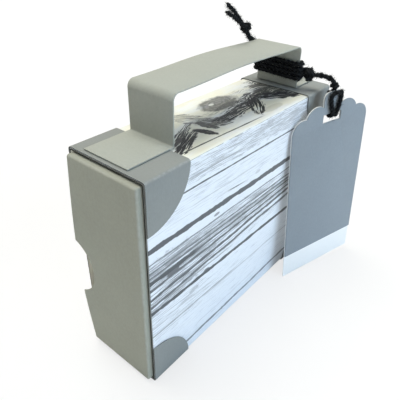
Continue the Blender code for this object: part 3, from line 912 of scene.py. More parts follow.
def box_fold_distance(t: Tree, place: Sequence[NodeSocket]) -> NodeSocket:
    """The distance to the box's four long folds.

    Args:
        t: The material's node helper.
        place: The three numbers of a place on the object.

    Returns:
        The socket that gives the distance.
    """
    away_y = t.math("ABSOLUTE", t.sub(t.math("ABSOLUTE", place[1]), BOX.back))
    middle = t.sub(place[2], BOX.height / 2)
    away_z = t.math("ABSOLUTE", t.sub(t.math("ABSOLUTE", middle), BOX.height / 2))
    return t.math("MAXIMUM", away_y, away_z)


def tray_fold_distance(t: Tree, place: Sequence[NodeSocket]) -> NodeSocket:
    """The distance to the folds round the tray's left end.

    Args:
        t: The material's node helper.
        place: The three numbers of a place on the object.

    Returns:
        The socket that gives the distance.
    """
    away_x = t.math("ABSOLUTE", t.add(place[0], -BOX.tray_left))
    middle = t.sub(place[2], BOX.height / 2)
    away_z = t.math("ABSOLUTE", t.sub(t.math("ABSOLUTE", middle), BOX.tray_half))
    away_y = t.math("ABSOLUTE", t.add(place[1], -BOX.tray_front))
    return t.math("MINIMUM", t.math("MAXIMUM", away_x, away_z), t.math("MAXIMUM", away_x, away_y))


@dataclass
class Case:
    """The sleeve with its wood-print wrap and corner pieces."""

    finishes: dict[str, Material]
    wrap_inset: float = 0.0005
    wrap_end: float = 0.0003
    wrap_card: float = 0.00015
    fold_steps: int = 5
    soft: float = 0.00006
    square_on: float = 0.95

    def wrap(self) -> None:
        """Folds the printed paper round the sleeve and maps the print on it."""
        low = Vector((BOX.left + self.wrap_end, BOX.front + self.wrap_inset, self.wrap_inset))
        high = Vector((BOX.right - self.wrap_end, BOX.back - self.wrap_inset, BOX.height - self.wrap_inset))
        made = Bench.block("wood_print_paper", low, high)
        Bench.pick(made, Element.FACE, lambda f: abs(f.normal.x) > FACING)
        bpy.ops.mesh.delete(type="ONLY_FACE")
        Bench.done()
        Bench.pick(made, Element.EDGE, lambda e: abs((e.verts[0].co - e.verts[1].co).x) > LONG_EDGE)
        bpy.ops.mesh.bevel(offset=BOX.fold, segments=self.fold_steps)
        Bench.done()
        Bench.apply(made, "SOLIDIFY", thickness=self.wrap_card, offset=-1)
        Bench.smooth(made)
        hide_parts("wood_print_wrap")
        Bench.dress(made, self.finishes["wood_front"], Body.CASE, "wood_print_paper")
        made.data.materials.append(self.finishes["wood_top"])
        made.data.materials.append(self.finishes["wood_back"])
        self.map_print(made)

    def colour_faces(self, made: Object, finish: str, test: Callable[[MeshPolygon], bool]) -> None:
        """Gives the faces that pass a test a finish of their own.

        Args:
            made: The piece.
            finish: The finish's name.
            test: Whether a face gets it.
        """
        made.data.materials.append(self.finishes[finish])
        for face in made.data.polygons:
            if test(face):
                face.material_index = len(made.data.materials) - 1

    def is_cut(self, face: MeshPolygon) -> bool:
        """Whether a face is a cut edge at the sleeve's ends."""
        return abs(face.normal.x) > self.square_on

    def is_inside_of_back(self, face: MeshPolygon) -> bool:
        """Whether a face is the inside of the sleeve's back, which shows through the notch and is painted
        pale and glowing as painted light.
        """
        return face.normal.y < -self.square_on and face.center.y > 0

    def map_print(self, made: Object) -> None:
        """Lays the print's UV map round the box, in units of 100 mm from the front's bottom left.

        Args:
            made: The wrap.
        """
        layer = made.data.uv_layers.new(name="print")
        depth = BOX.back - BOX.front
        for face in made.data.polygons:
            flat = face.normal
            level = abs(flat.z) > abs(flat.y)
            front = not level and face.center.y < 0
            top = level and face.center.z > BOX.height / 2
            face.material_index = 0 if front else 1 if top else 2
            for corner in face.loop_indices:
                co = made.data.vertices[made.data.loops[corner].vertex_index].co
                if level:
                    round_top = BOX.height + (co.y - BOX.front)
                    round_bottom = 2 * BOX.height + depth + (BOX.back - co.y)
                    way = round_top if co.z > BOX.height / 2 else round_bottom
                else:
                    way = co.z if co.y < 0 else BOX.height + depth + (BOX.height - co.z)
                layer.data[corner].uv = ((co.x - BOX.left) * PRINT_SCALE, way * PRINT_SCALE)

    def build(self) -> None:
        """Builds the sleeve, the wrap and the four corner pieces."""
        sleeve = Bench.copy_node("sleeve", "sleeve_card")
        Bench.dress(sleeve, self.finishes["card"], Body.CASE, "sleeve_card")
        # Painted shade: the sleeve's cut edges at its ends get the near-black cut finish.
        self.colour_faces(sleeve, "cut", self.is_cut)
        # Painted light: the inside of the sleeve's back, seen through the notch, gets a pale glowing finish
        # in place of the light that would reach it.
        self.colour_faces(sleeve, "inside", self.is_inside_of_back)
        self.wrap()
        for level in ("top", "bottom"):
            for side in ("left", "right"):
                node = f"corner_{level}_{side}"
                piece = Bench.copy_node(node, f"{node}_card", self.soft)
                Bench.dress(piece, self.finishes["corner"], Body.CASE, "corner_card")
                # Painted shade: the corners' cut edges at the ends get the near-black cut finish.
                self.colour_faces(piece, "cut", self.is_cut)


@dataclass
class Tray:
    """The sliding tray, open at the back, its left end bowed and notched.

    Attributes:
        low: Its lowest corner, before its end is bowed.
        high: Its highest corner.
        bow_power: How the bulge grows towards the end wall's free edge.
        notch_run: How far the round tool that cuts the notch reaches along the box.
    """

    finish: Material
    low: Vector = field(default_factory=lambda: Vector((BOX.tray_left, -0.0175, 0.0016)))
    high: Vector = field(default_factory=lambda: Vector((0.0630, 0.01715, 0.0981)))
    card: float = 0.0004
    fold: float = 0.0009
    fold_steps: int = 4
    fold_angle: float = math.radians(40)
    bow: float = 0.0024
    bow_power: float = 1.5
    end_cuts: int = 15
    notch_radius: float = 0.0154
    notch_depth: float = 0.0082
    notch_middle: float = 0.048
    notch_run: float = 0.012
    notch_sides: int = 96

    def build(self) -> None:
        """Builds the tray from a block: opens its back, bows its end, folds it and cuts the notch."""
        made = Bench.block("tray_card", self.low, self.high)
        Bench.pick(made, Element.FACE, lambda f: f.normal.y > FACING)
        bpy.ops.mesh.delete(type="ONLY_FACE")
        Bench.done()
        Bench.pick(made, Element.FACE, lambda f: f.normal.x < -FACING)
        bpy.ops.mesh.subdivide(number_cuts=self.end_cuts)
        Bench.done()
        self.bow_end(made)
        folds = {"limit_method": "ANGLE", "angle_limit": self.fold_angle}
        Bench.apply(made, "BEVEL", width=self.fold, segments=self.fold_steps, **folds)
        Bench.apply(made, "SOLIDIFY", thickness=self.card, offset=-1, use_even_offset=True)
        self.notch(made)
        Bench.smooth(made)
        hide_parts("tray")
        Bench.dress(made, self.finish, Body.TRAY, "tray_card")

    def bow_end(self, made: Object) -> None:
        """Bulges the end wall outwards, most at the middle of its free edge.

        Args:
            made: The tray.
        """
        for vertex in made.data.vertices:
            if abs(vertex.co.x - self.low.x) < TOUCH:
                depth_share = max(0.0, (vertex.co.y - self.low.y) / (self.high.y - self.low.y))
                height_share = (vertex.co.z - self.low.z) / (self.high.z - self.low.z)
                vertex.co.x -= self.bow * depth_share**self.bow_power * math.sin(math.pi * height_share)

    def notch(self, made: Object) -> None:
        """Cuts the thumb notch out of the end wall's free edge.

        Args:
            made: The tray.
        """
        Bench.clear()
        middle = (self.low.x, self.high.y - self.notch_depth + self.notch_radius, self.notch_middle)
        bpy.ops.mesh.primitive_cylinder_add(
            vertices=self.notch_sides, radius=self.notch_radius, depth=self.notch_run, location=middle,
            rotation=(0, math.pi / 2, 0),
        )
        tool = bpy.context.object
        Bench.apply(made, "BOOLEAN", operation="DIFFERENCE", solver="EXACT", object=tool)
        bpy.data.objects.remove(tool, do_unlink=True)


# The handle


@dataclass
class Handle:
    """The strap handle: each foot and leg as one folded strip, and the crowned grip.

    Attributes:
        left: The middle of the left leg.
        right: The middle of the right leg.
        crown: How far the grip's middle stands up.
        runs: How many facets each straight stretch has.
        hinge: Not used.
        hinge_low: Not used.
        grip_bend: Not used.
    """

    finish: Material
    card: float = 0.0005
    front: float = -0.00985
    back: float = 0.01225
    foot_left: float = -0.0591
    foot_right: float = 0.0642
    left: float = -0.0373
    right: float = 0.0484
    bottom: float = 0.1002
    top: float = 0.1198
    corner: float = 0.0029
    corner_start: float = 176
    corner_steps: int = 10
    crown: float = 0.0010
    grip_steps: int = 32
    inner: float = 0.0004
    inner_steps: int = 5
    runs: int = 8
    soft: float = 0.00007
    cuts: int = 2
    hinge: float = 0.0009
    hinge_low: float = 0.0002
    grip_bend: tuple[float, float] = (0.0002, 0.0003)

    def strip(self, name: str, path: list[tuple[float, float]]) -> Object:
        """Lays a strip of card along a path seen from the front.

        Args:
            name: The piece's name.
            path: Points in X and Z along the card's outer face.

        Returns:
            The strip, with its thickness on the right-hand side of its path.
        """
        Bench.clear()
        start, ahead = (Vector((x, (self.front + self.back) / 2, z)) for x, z in path[:2])
        along = ahead - start
        tilt = (0, math.atan2(-along.z, along.x), 0)
        bpy.ops.mesh.primitive_plane_add(size=1, location=(start + ahead) / 2, rotation=tilt)
        made = bpy.context.object
        made.name = name
        made.scale = (along.length, self.back - self.front, 1)
        bpy.ops.object.transform_apply(location=True, rotation=True, scale=True)
        middle = (start + ahead) / 2
        Bench.pick(made, Element.EDGE, lambda e: all((v.co - middle).dot(along) > 0 for v in e.verts))
        for (x, z), (next_x, next_z) in zip(path[1:], path[2:]):
            bpy.ops.mesh.extrude_region_move(TRANSFORM_OT_translate={"value": (next_x - x, 0, next_z - z)})
        Bench.done()
        Bench.pick(made, Element.EDGE, lambda e: abs((e.verts[0].co - e.verts[1].co).y) > self.card)
        bpy.ops.mesh.subdivide(number_cuts=self.cuts)
        Bench.done()
        Bench.apply(made, "SOLIDIFY", thickness=self.card, offset=-1, use_even_offset=True)
        Bench.pick(made, Element.EDGE, self.is_long_edge)
        bpy.ops.mesh.bevel(offset=self.soft, segments=EDGE_STEPS)
        Bench.done()
        Bench.smooth(made)
        return made

    def is_long_edge(self, edge: bmesh.types.BMEdge) -> bool:
        """Whether an edge runs along the strip's front or back cut side.

        Args:
            edge: The edge.

        Returns:
            True for the long edges, and False for those across the card's thickness.
        """
        a, b = (v.co for v in edge.verts)
        near = self.soft / 10
        at_side = min(abs(a.y - self.front), abs(a.y - self.back)) < near
        return at_side and abs(a.y - b.y) < near and abs((a - b).length - self.card) > self.card / 50

    @staticmethod
    def curve(middle: tuple[float, float], radius: float, start: float, end: float, steps: int) -> list:
        """Points of an arc between two angles in degrees, both included."""
        turns = [math.radians(start + (end - start) * k / steps) for k in range(steps + 1)]
        return [(middle[0] + radius * math.cos(a), middle[1] + radius * math.sin(a)) for a in turns]

    def run(self, start: tuple[float, float], end: tuple[float, float], with_start: bool) -> list:
        """Points of a straight stretch, with its start and without its end, or the other way round."""
        steps = range(self.runs) if with_start else range(1, self.runs + 1)
        return [tuple(a + (b - a) * k / self.runs for a, b in zip(start, end)) for k in steps]

    def legs(self) -> None:
        """Builds each side's foot and leg as one folded strip that bends at its base."""
        inner = self.inner
        leg_top = self.top - self.corner
        face = self.bottom + self.card
        base = face + inner
        x = self.left - self.card / 2
        left = self.run((self.foot_left, face), (x - inner, face), True)
        left += self.curve((x - inner, base), inner, -90, 0, self.inner_steps)
        left += self.run((x, base), (x, leg_top), False)
        x = self.right + self.card / 2
        right = self.run((x, leg_top), (x, base), True)
        right += self.curve((x + inner, base), inner, 180, 270, self.inner_steps)
        right += self.run((x + inner, face), (self.foot_right, face), False)
        left_side = ("left", left, self.left, -1, Body.LEG_LEFT)
        right_side = ("right", right, self.right, 1, Body.LEG_RIGHT)
        for side, path, x, way, body in (left_side, right_side):
            made = self.strip(f"handle_strap_{side}", path)
            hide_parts(f"handle_foot_{side}", f"handle_leg_{side}")
            Bench.dress(made, self.finish, None, "handle_card")
            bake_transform(made)

    def grip(self) -> None:
        """Builds the grip, which bends at its left rounded corner."""
        half = self.card / 2
        low_z = self.top - self.corner
        middle = (self.left - half + self.corner, low_z)
        bend = self.curve(middle, self.corner, self.corner_start, 90, self.corner_steps)
        other = [(self.left + self.right - x, z) for x, z in reversed(bend)]
        crown = []
        for k in range(1, self.grip_steps):
            share = k / self.grip_steps
            x = bend[-1][0] + (other[0][0] - bend[-1][0]) * share
            crown.append((x, self.top + self.crown * math.sin(math.pi * share) ** 2))
        path = [(self.left - half, low_z), *bend, *crown, *other, (self.right + half, low_z)]
        made = self.strip("handle_grip_card", path)
        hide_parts("handle_grip")
        Bench.dress(made, self.finish, None, "handle_card")
        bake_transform(made)

    def build(self) -> None:
        """Builds the whole handle."""
        self.legs()
        self.grip()


# Twine


def catmull(points: Sequence[Vector], step: float) -> list[Vector]:
    """A smooth curve through points, read at about equal steps.

    Args:
        points: The route's own points.
        step: The distance between the points read.

    Returns:
        The points read, the route's two ends included.
    """
    ends = [2 * points[0] - points[1], *points, 2 * points[-1] - points[-2]]
    dense: list[Vector] = []
    for k in range(1, len(ends) - 2):
        a, b, c, d = ends[k - 1 : k + 3]
        for m in range(CURVE_CUTS):
            s = m / CURVE_CUTS
            bend = 2 * b + (c - a) * s + (2 * a - 5 * b + 4 * c - d) * s**2
            dense.append((bend + (3 * b - a - 3 * c + d) * s**3) / 2)
    dense.append(points[-1].copy())
    along = [0.0]
    for p, q in zip(dense, dense[1:]):
        along.append(along[-1] + (q - p).length)
    count = max(2, math.ceil(along[-1] / step))
    read, k = [], 0
    for m in range(count + 1):
        goal = along[-1] * m / count
        while k < len(along) - 2 and along[k + 1] < goal:
            k += 1
        read.append(dense[k].lerp(dense[k + 1], (goal - along[k]) / (along[k + 1] - along[k])))
    return read


def frames(route: Sequence[Vector]) -> list[tuple[Vector, Vector, float]]:
    """Finds two side directions at each point of a route, carried along without twist.

    Args:
        route: The route's points.

    Returns:
        For each point its two side directions and the route's length up to it.
    """
    made = []
    side = (route[1] - route[0]).normalized().orthogonal().normalized()
    gone = 0.0
    for k, point in enumerate(route):
        way = (route[min(k + 1, len(route) - 1)] - route[max(k - 1, 0)]).normalized()
        side = (side - way * side.dot(way)).normalized()
        if k:
            gone += (point - route[k - 1]).length
        made.append((side.copy(), way.cross(side), gone))
    return made


def wind(route: Sequence[Vector], reach: float, pitch: float, phase: float) -> list[Vector]:
    """Winds a strand round a route.

    Args:
        route: The middle line.
        reach: How far the strand stands from it.
        pitch: The length of one turn.
        phase: The angle at which it starts.

    Returns:
        The strand's points, one for each of the route's.
    """
    made = []
    for point, (side, up, gone) in zip(route, frames(route)):
        turn = phase + 2 * math.pi * gone / pitch
        made.append(point + side * (reach * math.cos(turn)) + up * (reach * math.sin(turn)))
    return made


def route_length(route: Sequence[Vector]) -> float:
    """The length of a route."""
    return sum((b - a).length for a, b in zip(route, route[1:]))


def millimetres(rows: Sequence[Point]) -> list[Vector]:
    """Points given in millimetres, in metres."""
    return [Vector(row) * MM for row in rows]


@dataclass(frozen=True)
class Yarn:
    """Two-ply yarn with a halo of loose hairs.

    Attributes:
        core: Not used.
        width: The yarn's width over both loosely twisted plies.
        ply: The radius of one ply.
        lay: The length of one turn of the plies.
        roundness: The bevel resolution of the plies.
        hair: The radius of a loose hair.
        hair_root: Where a hair starts, as a share of the width from the middle.
        hair_lean: How far it leans out of the straight way outwards.
        hair_reach: Its least and greatest length.
        hair_steps: How many straight bits it has.
        hair_curl: How much it turns at each bit.
        hair_tip: How thin its tip is, as a share.
        long_share: The share of hairs that are longer.
        long_more: How many times longer these are.
    """

    core: float = 0.0017
    width: float = 0.0022
    ply: float = 0.00069
    lay: float = 0.0044
    roundness: int = 2
    hair: float = 0.000038
    hair_root: float = 0.40
    hair_lean: float = 0.8
    hair_reach: tuple[float, float] = (0.0006, 0.0014)
    hair_steps: int = 4
    hair_curl: float = 0.45
    hair_tip: float = 0.35
    long_share: float = 0.3
    long_more: float = 1.4

    def tubes(self, name: str, lines: Iterable[tuple[Sequence[Vector], float]], roundness: int) -> Object:
        """Makes one mesh of closed tubes along lines of points.

        Args:
            name: The piece's name.
            lines: Each tube's points and radius.
            roundness: The curve's bevel resolution, 0 for hairs, whose tips are drawn thin.

        Returns:
            The mesh object.
        """
        data = bpy.data.curves.new(name, "CURVE")
        data.dimensions = "3D"
        data.bevel_depth = 1.0
        data.bevel_resolution = roundness
        data.use_fill_caps = True
        for points, radius in lines:
            spline = data.splines.new("POLY")
            spline.points.add(len(points) - 1)
            for k, point in enumerate(points):
                spline.points[k].co = (*point, 1)
                taper = self.hair_tip if roundness == 0 and k == len(points) - 1 else 1.0
                spline.points[k].radius = radius * taper
        made = bpy.data.objects.new(name, data)
        bpy.context.scene.collection.objects.link(made)
        Bench.activate(made)
        bpy.ops.object.convert(target="MESH")
        made = bpy.context.object
        made.name = name
        return made

    def strand(self, name: str, routes: Sequence[Sequence[Vector]], seed: int, hairs: float) -> Object:
        """Makes yarn along routes, its two plies wound round each other, with its hairs in the mesh.

        Args:
            name: The piece's name.
            routes: The yarn's middle lines.
            seed: What the random hairs start from.
            hairs: How many hairs stand out of each millimetre.

        Returns:
            The mesh object.
        """
        lines = []
        for route in routes:
            for phase in (0.0, math.pi):
                lines.append((wind(route, self.width / 2 - self.ply, self.lay, phase), self.ply))
        made = self.tubes(name, lines, self.roundness)
        halo = self.tubes(name + "_halo", self.hair_lines(routes, seed, hairs), 0)
        Bench.activate(made)
        halo.select_set(True)
        bpy.ops.object.join()
        return made

    def hair_lines(self, routes: Sequence[Sequence[Vector]], seed: int, hairs: float) -> list:
        """Draws loose curly hairs at random along routes.

        Args:
            routes: The yarn's middle lines.
            seed: What the random hairs start from.
            hairs: How many hairs stand out of each millimetre.

        Returns:
            Each hair's points and radius.
        """
        draw = random.Random(seed)
        lines = []
        for route in routes:
            sides = frames(route)
            for _ in range(int(route_length(route) * PER_METRE * hairs)):
                k = draw.randrange(len(route))
                side, up, _gone = sides[k]
                turn = draw.uniform(0, 2 * math.pi)
                out = side * math.cos(turn) + up * math.sin(turn)
                lean = self.random_vector(draw).normalized()
                place = route[k] + out * (self.width * self.hair_root)
                way = (out + lean * self.hair_lean).normalized()
                reach = draw.uniform(*self.hair_reach)
                reach *= self.long_more if draw.random() < self.long_share else 1.0
                points = [place.copy()]
                for _step in range(self.hair_steps):
                    way = (way + self.random_vector(draw) * self.hair_curl).normalized()
                    place = place + way * (reach / self.hair_steps)
                    points.append(place.copy())
                lines.append((points, self.hair))
        return lines

    @staticmethod
    def random_vector(draw: random.Random) -> Vector:
        """A vector in any direction, its three numbers drawn in turn."""
        return Vector([draw.gauss(0, 1) for _ in range(3)])


@dataclass(frozen=True)
class Knot:
    """An overhand knot, drawn tight.

    Attributes:
        across: How far its lobes reach from its middle line.
        rise: How far its crossings stand apart from its middle.
        axis: The direction that its lobes stand round.
        turn: How far it is turned about its axis.
        offset: Where it lies from the place where it is tied, in millimetres.
        points: How many points its route has.
        whole: How many points a closed knot would have.
    """

    across: float
    rise: float
    axis: Point
    turn: float
    offset: Point = (0, 0, 0)
    points: int = 72
    whole: int = 74

    def route(self, centre: Vector) -> list[Vector]:
        """Finds the route of its yarn.

        Args:
            centre: The place where it is tied.

        Returns:
            The route's points, its ends near each other.
        """
        z = Vector(self.axis).normalized()
        x = z.orthogonal().normalized()
        y = z.cross(x)
        c, s = math.cos(self.turn), math.sin(self.turn)
        made = []
        for k in range(self.points):
            a = 2 * math.pi * k / self.whole
            u, v = math.sin(a) + 2 * math.sin(2 * a), math.cos(a) - 2 * math.cos(2 * a)
            flat = x * (u * c - v * s) + y * (u * s + v * c)
            place = centre + Vector(self.offset) * MM
            made.append(place + flat * (self.across / 3) - z * (self.rise * math.sin(3 * a)))
        return catmull(made, FINE_STEP)


@dataclass
class TwineWork:
    """The windings on the right leg, the knots, the lead, the tag's loop and the tails.

    Places in rows are in millimetres, everything else is in metres.

    Attributes:
        pair_reach: How far each strand of a pair stands from the pair's middle.
        side: How far the winding's middle line stands from the leg's middle.
        past: How many points the winding's last turn goes on past its start.
        collar: The hitch's reach, pitch and starting angle.
        lead_end: Not used.
        lead_way: How many points of the lead's end give the hitch its direction.
        stub_every: The tails' routes go through one in so many points of the stub's pair.
        tie_pull: How near the knot's middle the tails pass before and behind it, as shares.
        tails: The routes of the two loose tails, each with its starting angle and its hairs' seed.
    """

    finish: Material
    yarn: Yarn = Yarn()
    fine_yarn: Yarn = Yarn(width=0.0019, ply=0.00058)
    pair_reach: float = 0.00042
    pair_pitch: float = 0.0085
    stub_pitch: float = 0.009
    leg: float = 0.0484
    front: float = -0.00985
    back: float = 0.01225
    turns: int = 4
    pitch: float = 0.00215
    start: float = 0.1036
    tilt: float = 0.0012
    side: float = 0.0014
    side_steps: int = 10
    past: int = 11
    knot: Point = (51.28, -14.12, 107.3)
    leg_knots: tuple[Knot, ...] = (
        Knot(0.0025, 0.0012, (0.5, -0.7, 0.2), 0.4),
        Knot(0.0024, 0.0011, (1, 0.4, 0.6), 1.3, offset=(-0.6, 0.9, 0.3)),
    )
    hitch: Point = (54.72, -26.12, 103.71)
    collar: Point = (0.00105, 0.00185, 0.9)
    collar_points: int = 21
    collar_step: float = 0.0001
    tail_knot: Point = (39.0, 15.35, 125.2)
    tail_tie: Knot = Knot(0.0019, 0.0009, (-0.5, 0.5, 1.0), 0.2)
    lead: tuple[Point, ...] = (
        (51.6, -15.2, 107.2), (52.08, -16.91, 107.3), (52.78, -19.35, 107.47), (53.52, -21.95, 107.16),
        (54.08, -23.91, 106.59), (54.41, -25.05, 105.6), (54.65, -25.8, 104.5),
    )
    lead_phase: float = 0.6
    lead_end: int = 8
    lead_way: int = 6
    loop: tuple[Point, ...] = (
        (53.96, -24.02, 101.01), (53.89, -24.42, 98.51), (54.01, -24.75, 94.85), (54.18, -25.07, 91.72),
        (54.13, -25.71, 89.72), (53.79, -26.9, 89.5), (53.37, -28.02, 89.89), (52.96, -28.25, 91.95),
        (51.85, -27.7, 95.26), (51.13, -27.25, 99.0), (52.01, -27.99, 101.19), (53.7, -29.78, 101.73),
        (56.14, -29.23, 101.37), (57.45, -29.15, 99.28), (56.91, -29.22, 95.48), (55.95, -29.14, 92.08),
        (55.9, -28.78, 90.0), (56.2, -27.62, 89.61), (56.55, -26.44, 89.82), (56.7, -25.83, 91.83),
        (56.77, -25.58, 94.97), (56.76, -25.29, 98.64), (56.72, -24.84, 101.13),
    )
    stub: tuple[Point, ...] = (
        (52.35, 14.15, 113.2), (47.88, 14.15, 117.0), (41.0, 14.15, 120.8), (40.16, 14.65, 122.64),
    )
    stub_every: int = 4
    tie_pull: tuple[float, float] = (0.6, 0.4)
    tails: tuple = (
        ("long", ((37.02, 16.15, 127.32), (31.01, 16.15, 132.61), (25.0, 16.15, 136.7)), 0.0, 17),
        ("short", ((36.29, 14.55, 126.24), (29.55, 14.55, 130.47), (22.8, 14.55, 134.1)), math.pi, 18),
    )

    def lay(
        self, name: str, nodes: Sequence[str], body: Body | None, routes: Sequence[Sequence[Vector]],
        seed: int, hairs: float, yarn: Yarn | None = None,
    ) -> Object:
        """Makes a run of twine in place of its CAD nodes.

        Args:
            name: The piece's name.
            nodes: The CAD nodes that it stands for.
            body: The body that it rides on, or None to leave it unattached.
            routes: The middle lines of its yarn.
            seed: What the random hairs start from.
            hairs: How many hairs stand out of each millimetre.
            yarn: Its yarn, if not the usual one.

        Returns:
            The piece.
        """
        made = (yarn or self.yarn).strand(name, routes, seed, hairs)
        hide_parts(*nodes)
        return Bench.dress(made, self.finish, body, "black_twine")

    def winding(self) -> list[Vector]:
        """Finds the turns round the leg.

        Returns:
            The winding's middle line, from its front outer side.
        """
        shares = [k / self.side_steps for k in range(self.side_steps)]
        span = self.back - self.front
        turn = [(self.side, self.front + span * share) for share in shares]
        turn += [self.side_place(math.pi * share, self.back) for share in shares]
        turn += [(-self.side, self.back - span * share) for share in shares]
        turn += [self.side_place(math.pi + math.pi * share, self.front) for share in shares]
        rough = []
        for k in range(self.turns * len(turn) + self.past):
            x, y = turn[k % len(turn)]
            rise = self.pitch * k / len(turn) + self.tilt * (y - self.front) / span
            rough.append(Vector((self.leg + x, y, self.start + rise)))
        return catmull(rough, STEP)

    def side_place(self, angle: float, edge: float) -> tuple[float, float]:
        """The place on the bend round one of the leg's edges, at an angle."""
        return self.side * math.cos(angle), edge + self.side * math.sin(angle)

    def wind_leg(self) -> None:
        """Winds the leg and ties its knot."""
        turns = [self.winding()]
        self.lay("twine_turns", ["twine_winding"], Body.LEG_RIGHT, turns, seed=11, hairs=9.0)
        routes = [knot.route(Vector(self.knot) * MM) for knot in self.leg_knots]
        self.lay("twine_leg_knot", ["leg_knot"], Body.LEG_RIGHT, routes, seed=12, hairs=14.0)

    def tie_lead(self) -> None:
        """Lays the twisted pair from the leg's knot to the hitch, and ties the hitch."""
        middle = catmull(millimetres(self.lead), FINE_STEP)
        phases = (self.lead_phase, self.lead_phase + math.pi)
        pair = [wind(middle, self.pair_reach, self.pair_pitch, phase) for phase in phases]
        made = self.lay("twine_lead_pair", ["twine_lead"], None, pair, 13, hairs=14.0, yarn=self.fine_yarn)
        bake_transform(made)
        way = (middle[-1] - middle[-self.lead_way]).normalized()
        reach = self.collar_step * (self.collar_points - 1) / 2
        steps = range(self.collar_points)
        spine = [Vector(self.hitch) * MM + way * (k * self.collar_step - reach) for k in steps]
        collar = wind(catmull(spine, self.collar_step), *self.collar)
        self.lay("twine_hitch", ["tag_hitch"], Body.HITCH, [collar], seed=14, hairs=8.0)

    def loop_tag(self) -> None:
        """Folds the yarn through the tag's slot and over its neck."""
        route = catmull(millimetres(self.loop), STEP)
        made = self.lay("twine_tag_loop", ["tag_loop"], Body.TAG, [route], seed=15, hairs=14.0)

    def tie_tails(self) -> None:
        """Carries the twine's two ends behind the grip, through a knot and out as loose tails."""
        centre = Vector(self.tail_knot) * MM
        stub = catmull(millimetres(self.stub), STEP)
        routes = [self.tail_tie.route(centre)]
        self.lay("twine_tail_knot", ["tail_knot"], Body.LEG_RIGHT, routes, seed=16, hairs=22.0)
        for name, tail, phase, seed in self.tails:
            pair = wind(stub, self.pair_reach, self.stub_pitch, phase)
            before, behind = self.tie_pull
            through = [pair[-1].lerp(centre, before), centre.lerp(Vector(tail[0]) * MM, behind)]
            route = catmull(pair[:: self.stub_every] + through + millimetres(tail), STEP)
            nodes = ["tail_long", "tail_stub"] if name == "long" else ["tail_short"]
            made = self.lay(f"twine_tail_{name}", nodes, Body.LEG_RIGHT, [route], seed, 20.0, self.fine_yarn)

    def build(self) -> None:
        """Builds all the twine."""
        self.loop_tag()
        self.tie_tails()
        self.tie_lead()
        self.wind_leg()


@dataclass
class Tag:
    """The scalloped tag: a grey front card on a taller white back card."""

    front: Material
    back: Material
    soft: float = 0.00006

    def build(self) -> None:
        """Builds both layers from their solids, with softened cut edges."""
        front = Bench.copy_node("tag_front_card", "tag_grey_layer", self.soft)
        Bench.dress(front, self.front, Body.TAG, "tag_card")
        back = Bench.copy_node("tag_back_card", "tag_white_layer", self.soft)
        Bench.dress(back, self.back, Body.TAG, "white_card")


# The set


@dataclass(frozen=True)
class Lamp:
    """A soft sun."""

    name: str
    towards: Point
    strength: float
    angle: float
    colour: Point

    def build(self) -> None:
        """Hangs the lamp."""
        data = bpy.data.lights.new(self.name, "SUN")
        data.energy, data.angle, data.color = self.strength, math.radians(self.angle), self.colour
        made = bpy.data.objects.new(self.name, data)
        made.rotation_euler = Vector(self.towards).to_track_quat("-Z", "Y").to_euler()
        bpy.context.scene.collection.objects.link(made)


@dataclass(frozen=True)
class Board:
    """A flat sheet of the set, such as the floor.

    Attributes:
        name: Its name.
        finish: Its material's name.
        size: Its side.
        place: Its middle.
        tilt: Its turns about the three axes.
        colour: Its colour.
        rough: Its roughness.
        specular: How much it mirrors.
        white: How much of what the camera sees of it is plain white.
    """

    name: str
    finish: str
    size: float
    place: Point
    tilt: Point
    colour: Point
    rough: float
    specular: float
    white: float

    def build(self) -> None:
        """Lays the sheet. The white that the camera sees leaves what the sheet lights alone."""
        Bench.clear()
        bpy.ops.mesh.primitive_plane_add(size=self.size, location=self.place, rotation=self.tilt)
        made = bpy.context.object
        made.name = self.name
        bpy.ops.object.transform_apply(location=True, rotation=True, scale=True)
        finish, t, shader = new_material(self.finish)
        shader.inputs["Base Color"].default_value = (*self.colour, 1)
        shader.inputs["Roughness"].default_value = self.rough
        shader.inputs["Specular IOR Level"].default_value = self.specular
        seen = t.mul(t.node("ShaderNodeLightPath").outputs["Is Camera Ray"], self.white)
        glow = t.node("ShaderNodeEmission", {"Color": WHITE, "Strength": 1.0})
        mixed = t.node("ShaderNodeMixShader", {0: seen, 1: shader.outputs[0], 2: glow.outputs[0]})
        t.feed(finish.node_tree.nodes["Material Output"].inputs["Surface"], mixed.outputs[0])
        made.data.materials.append(finish)


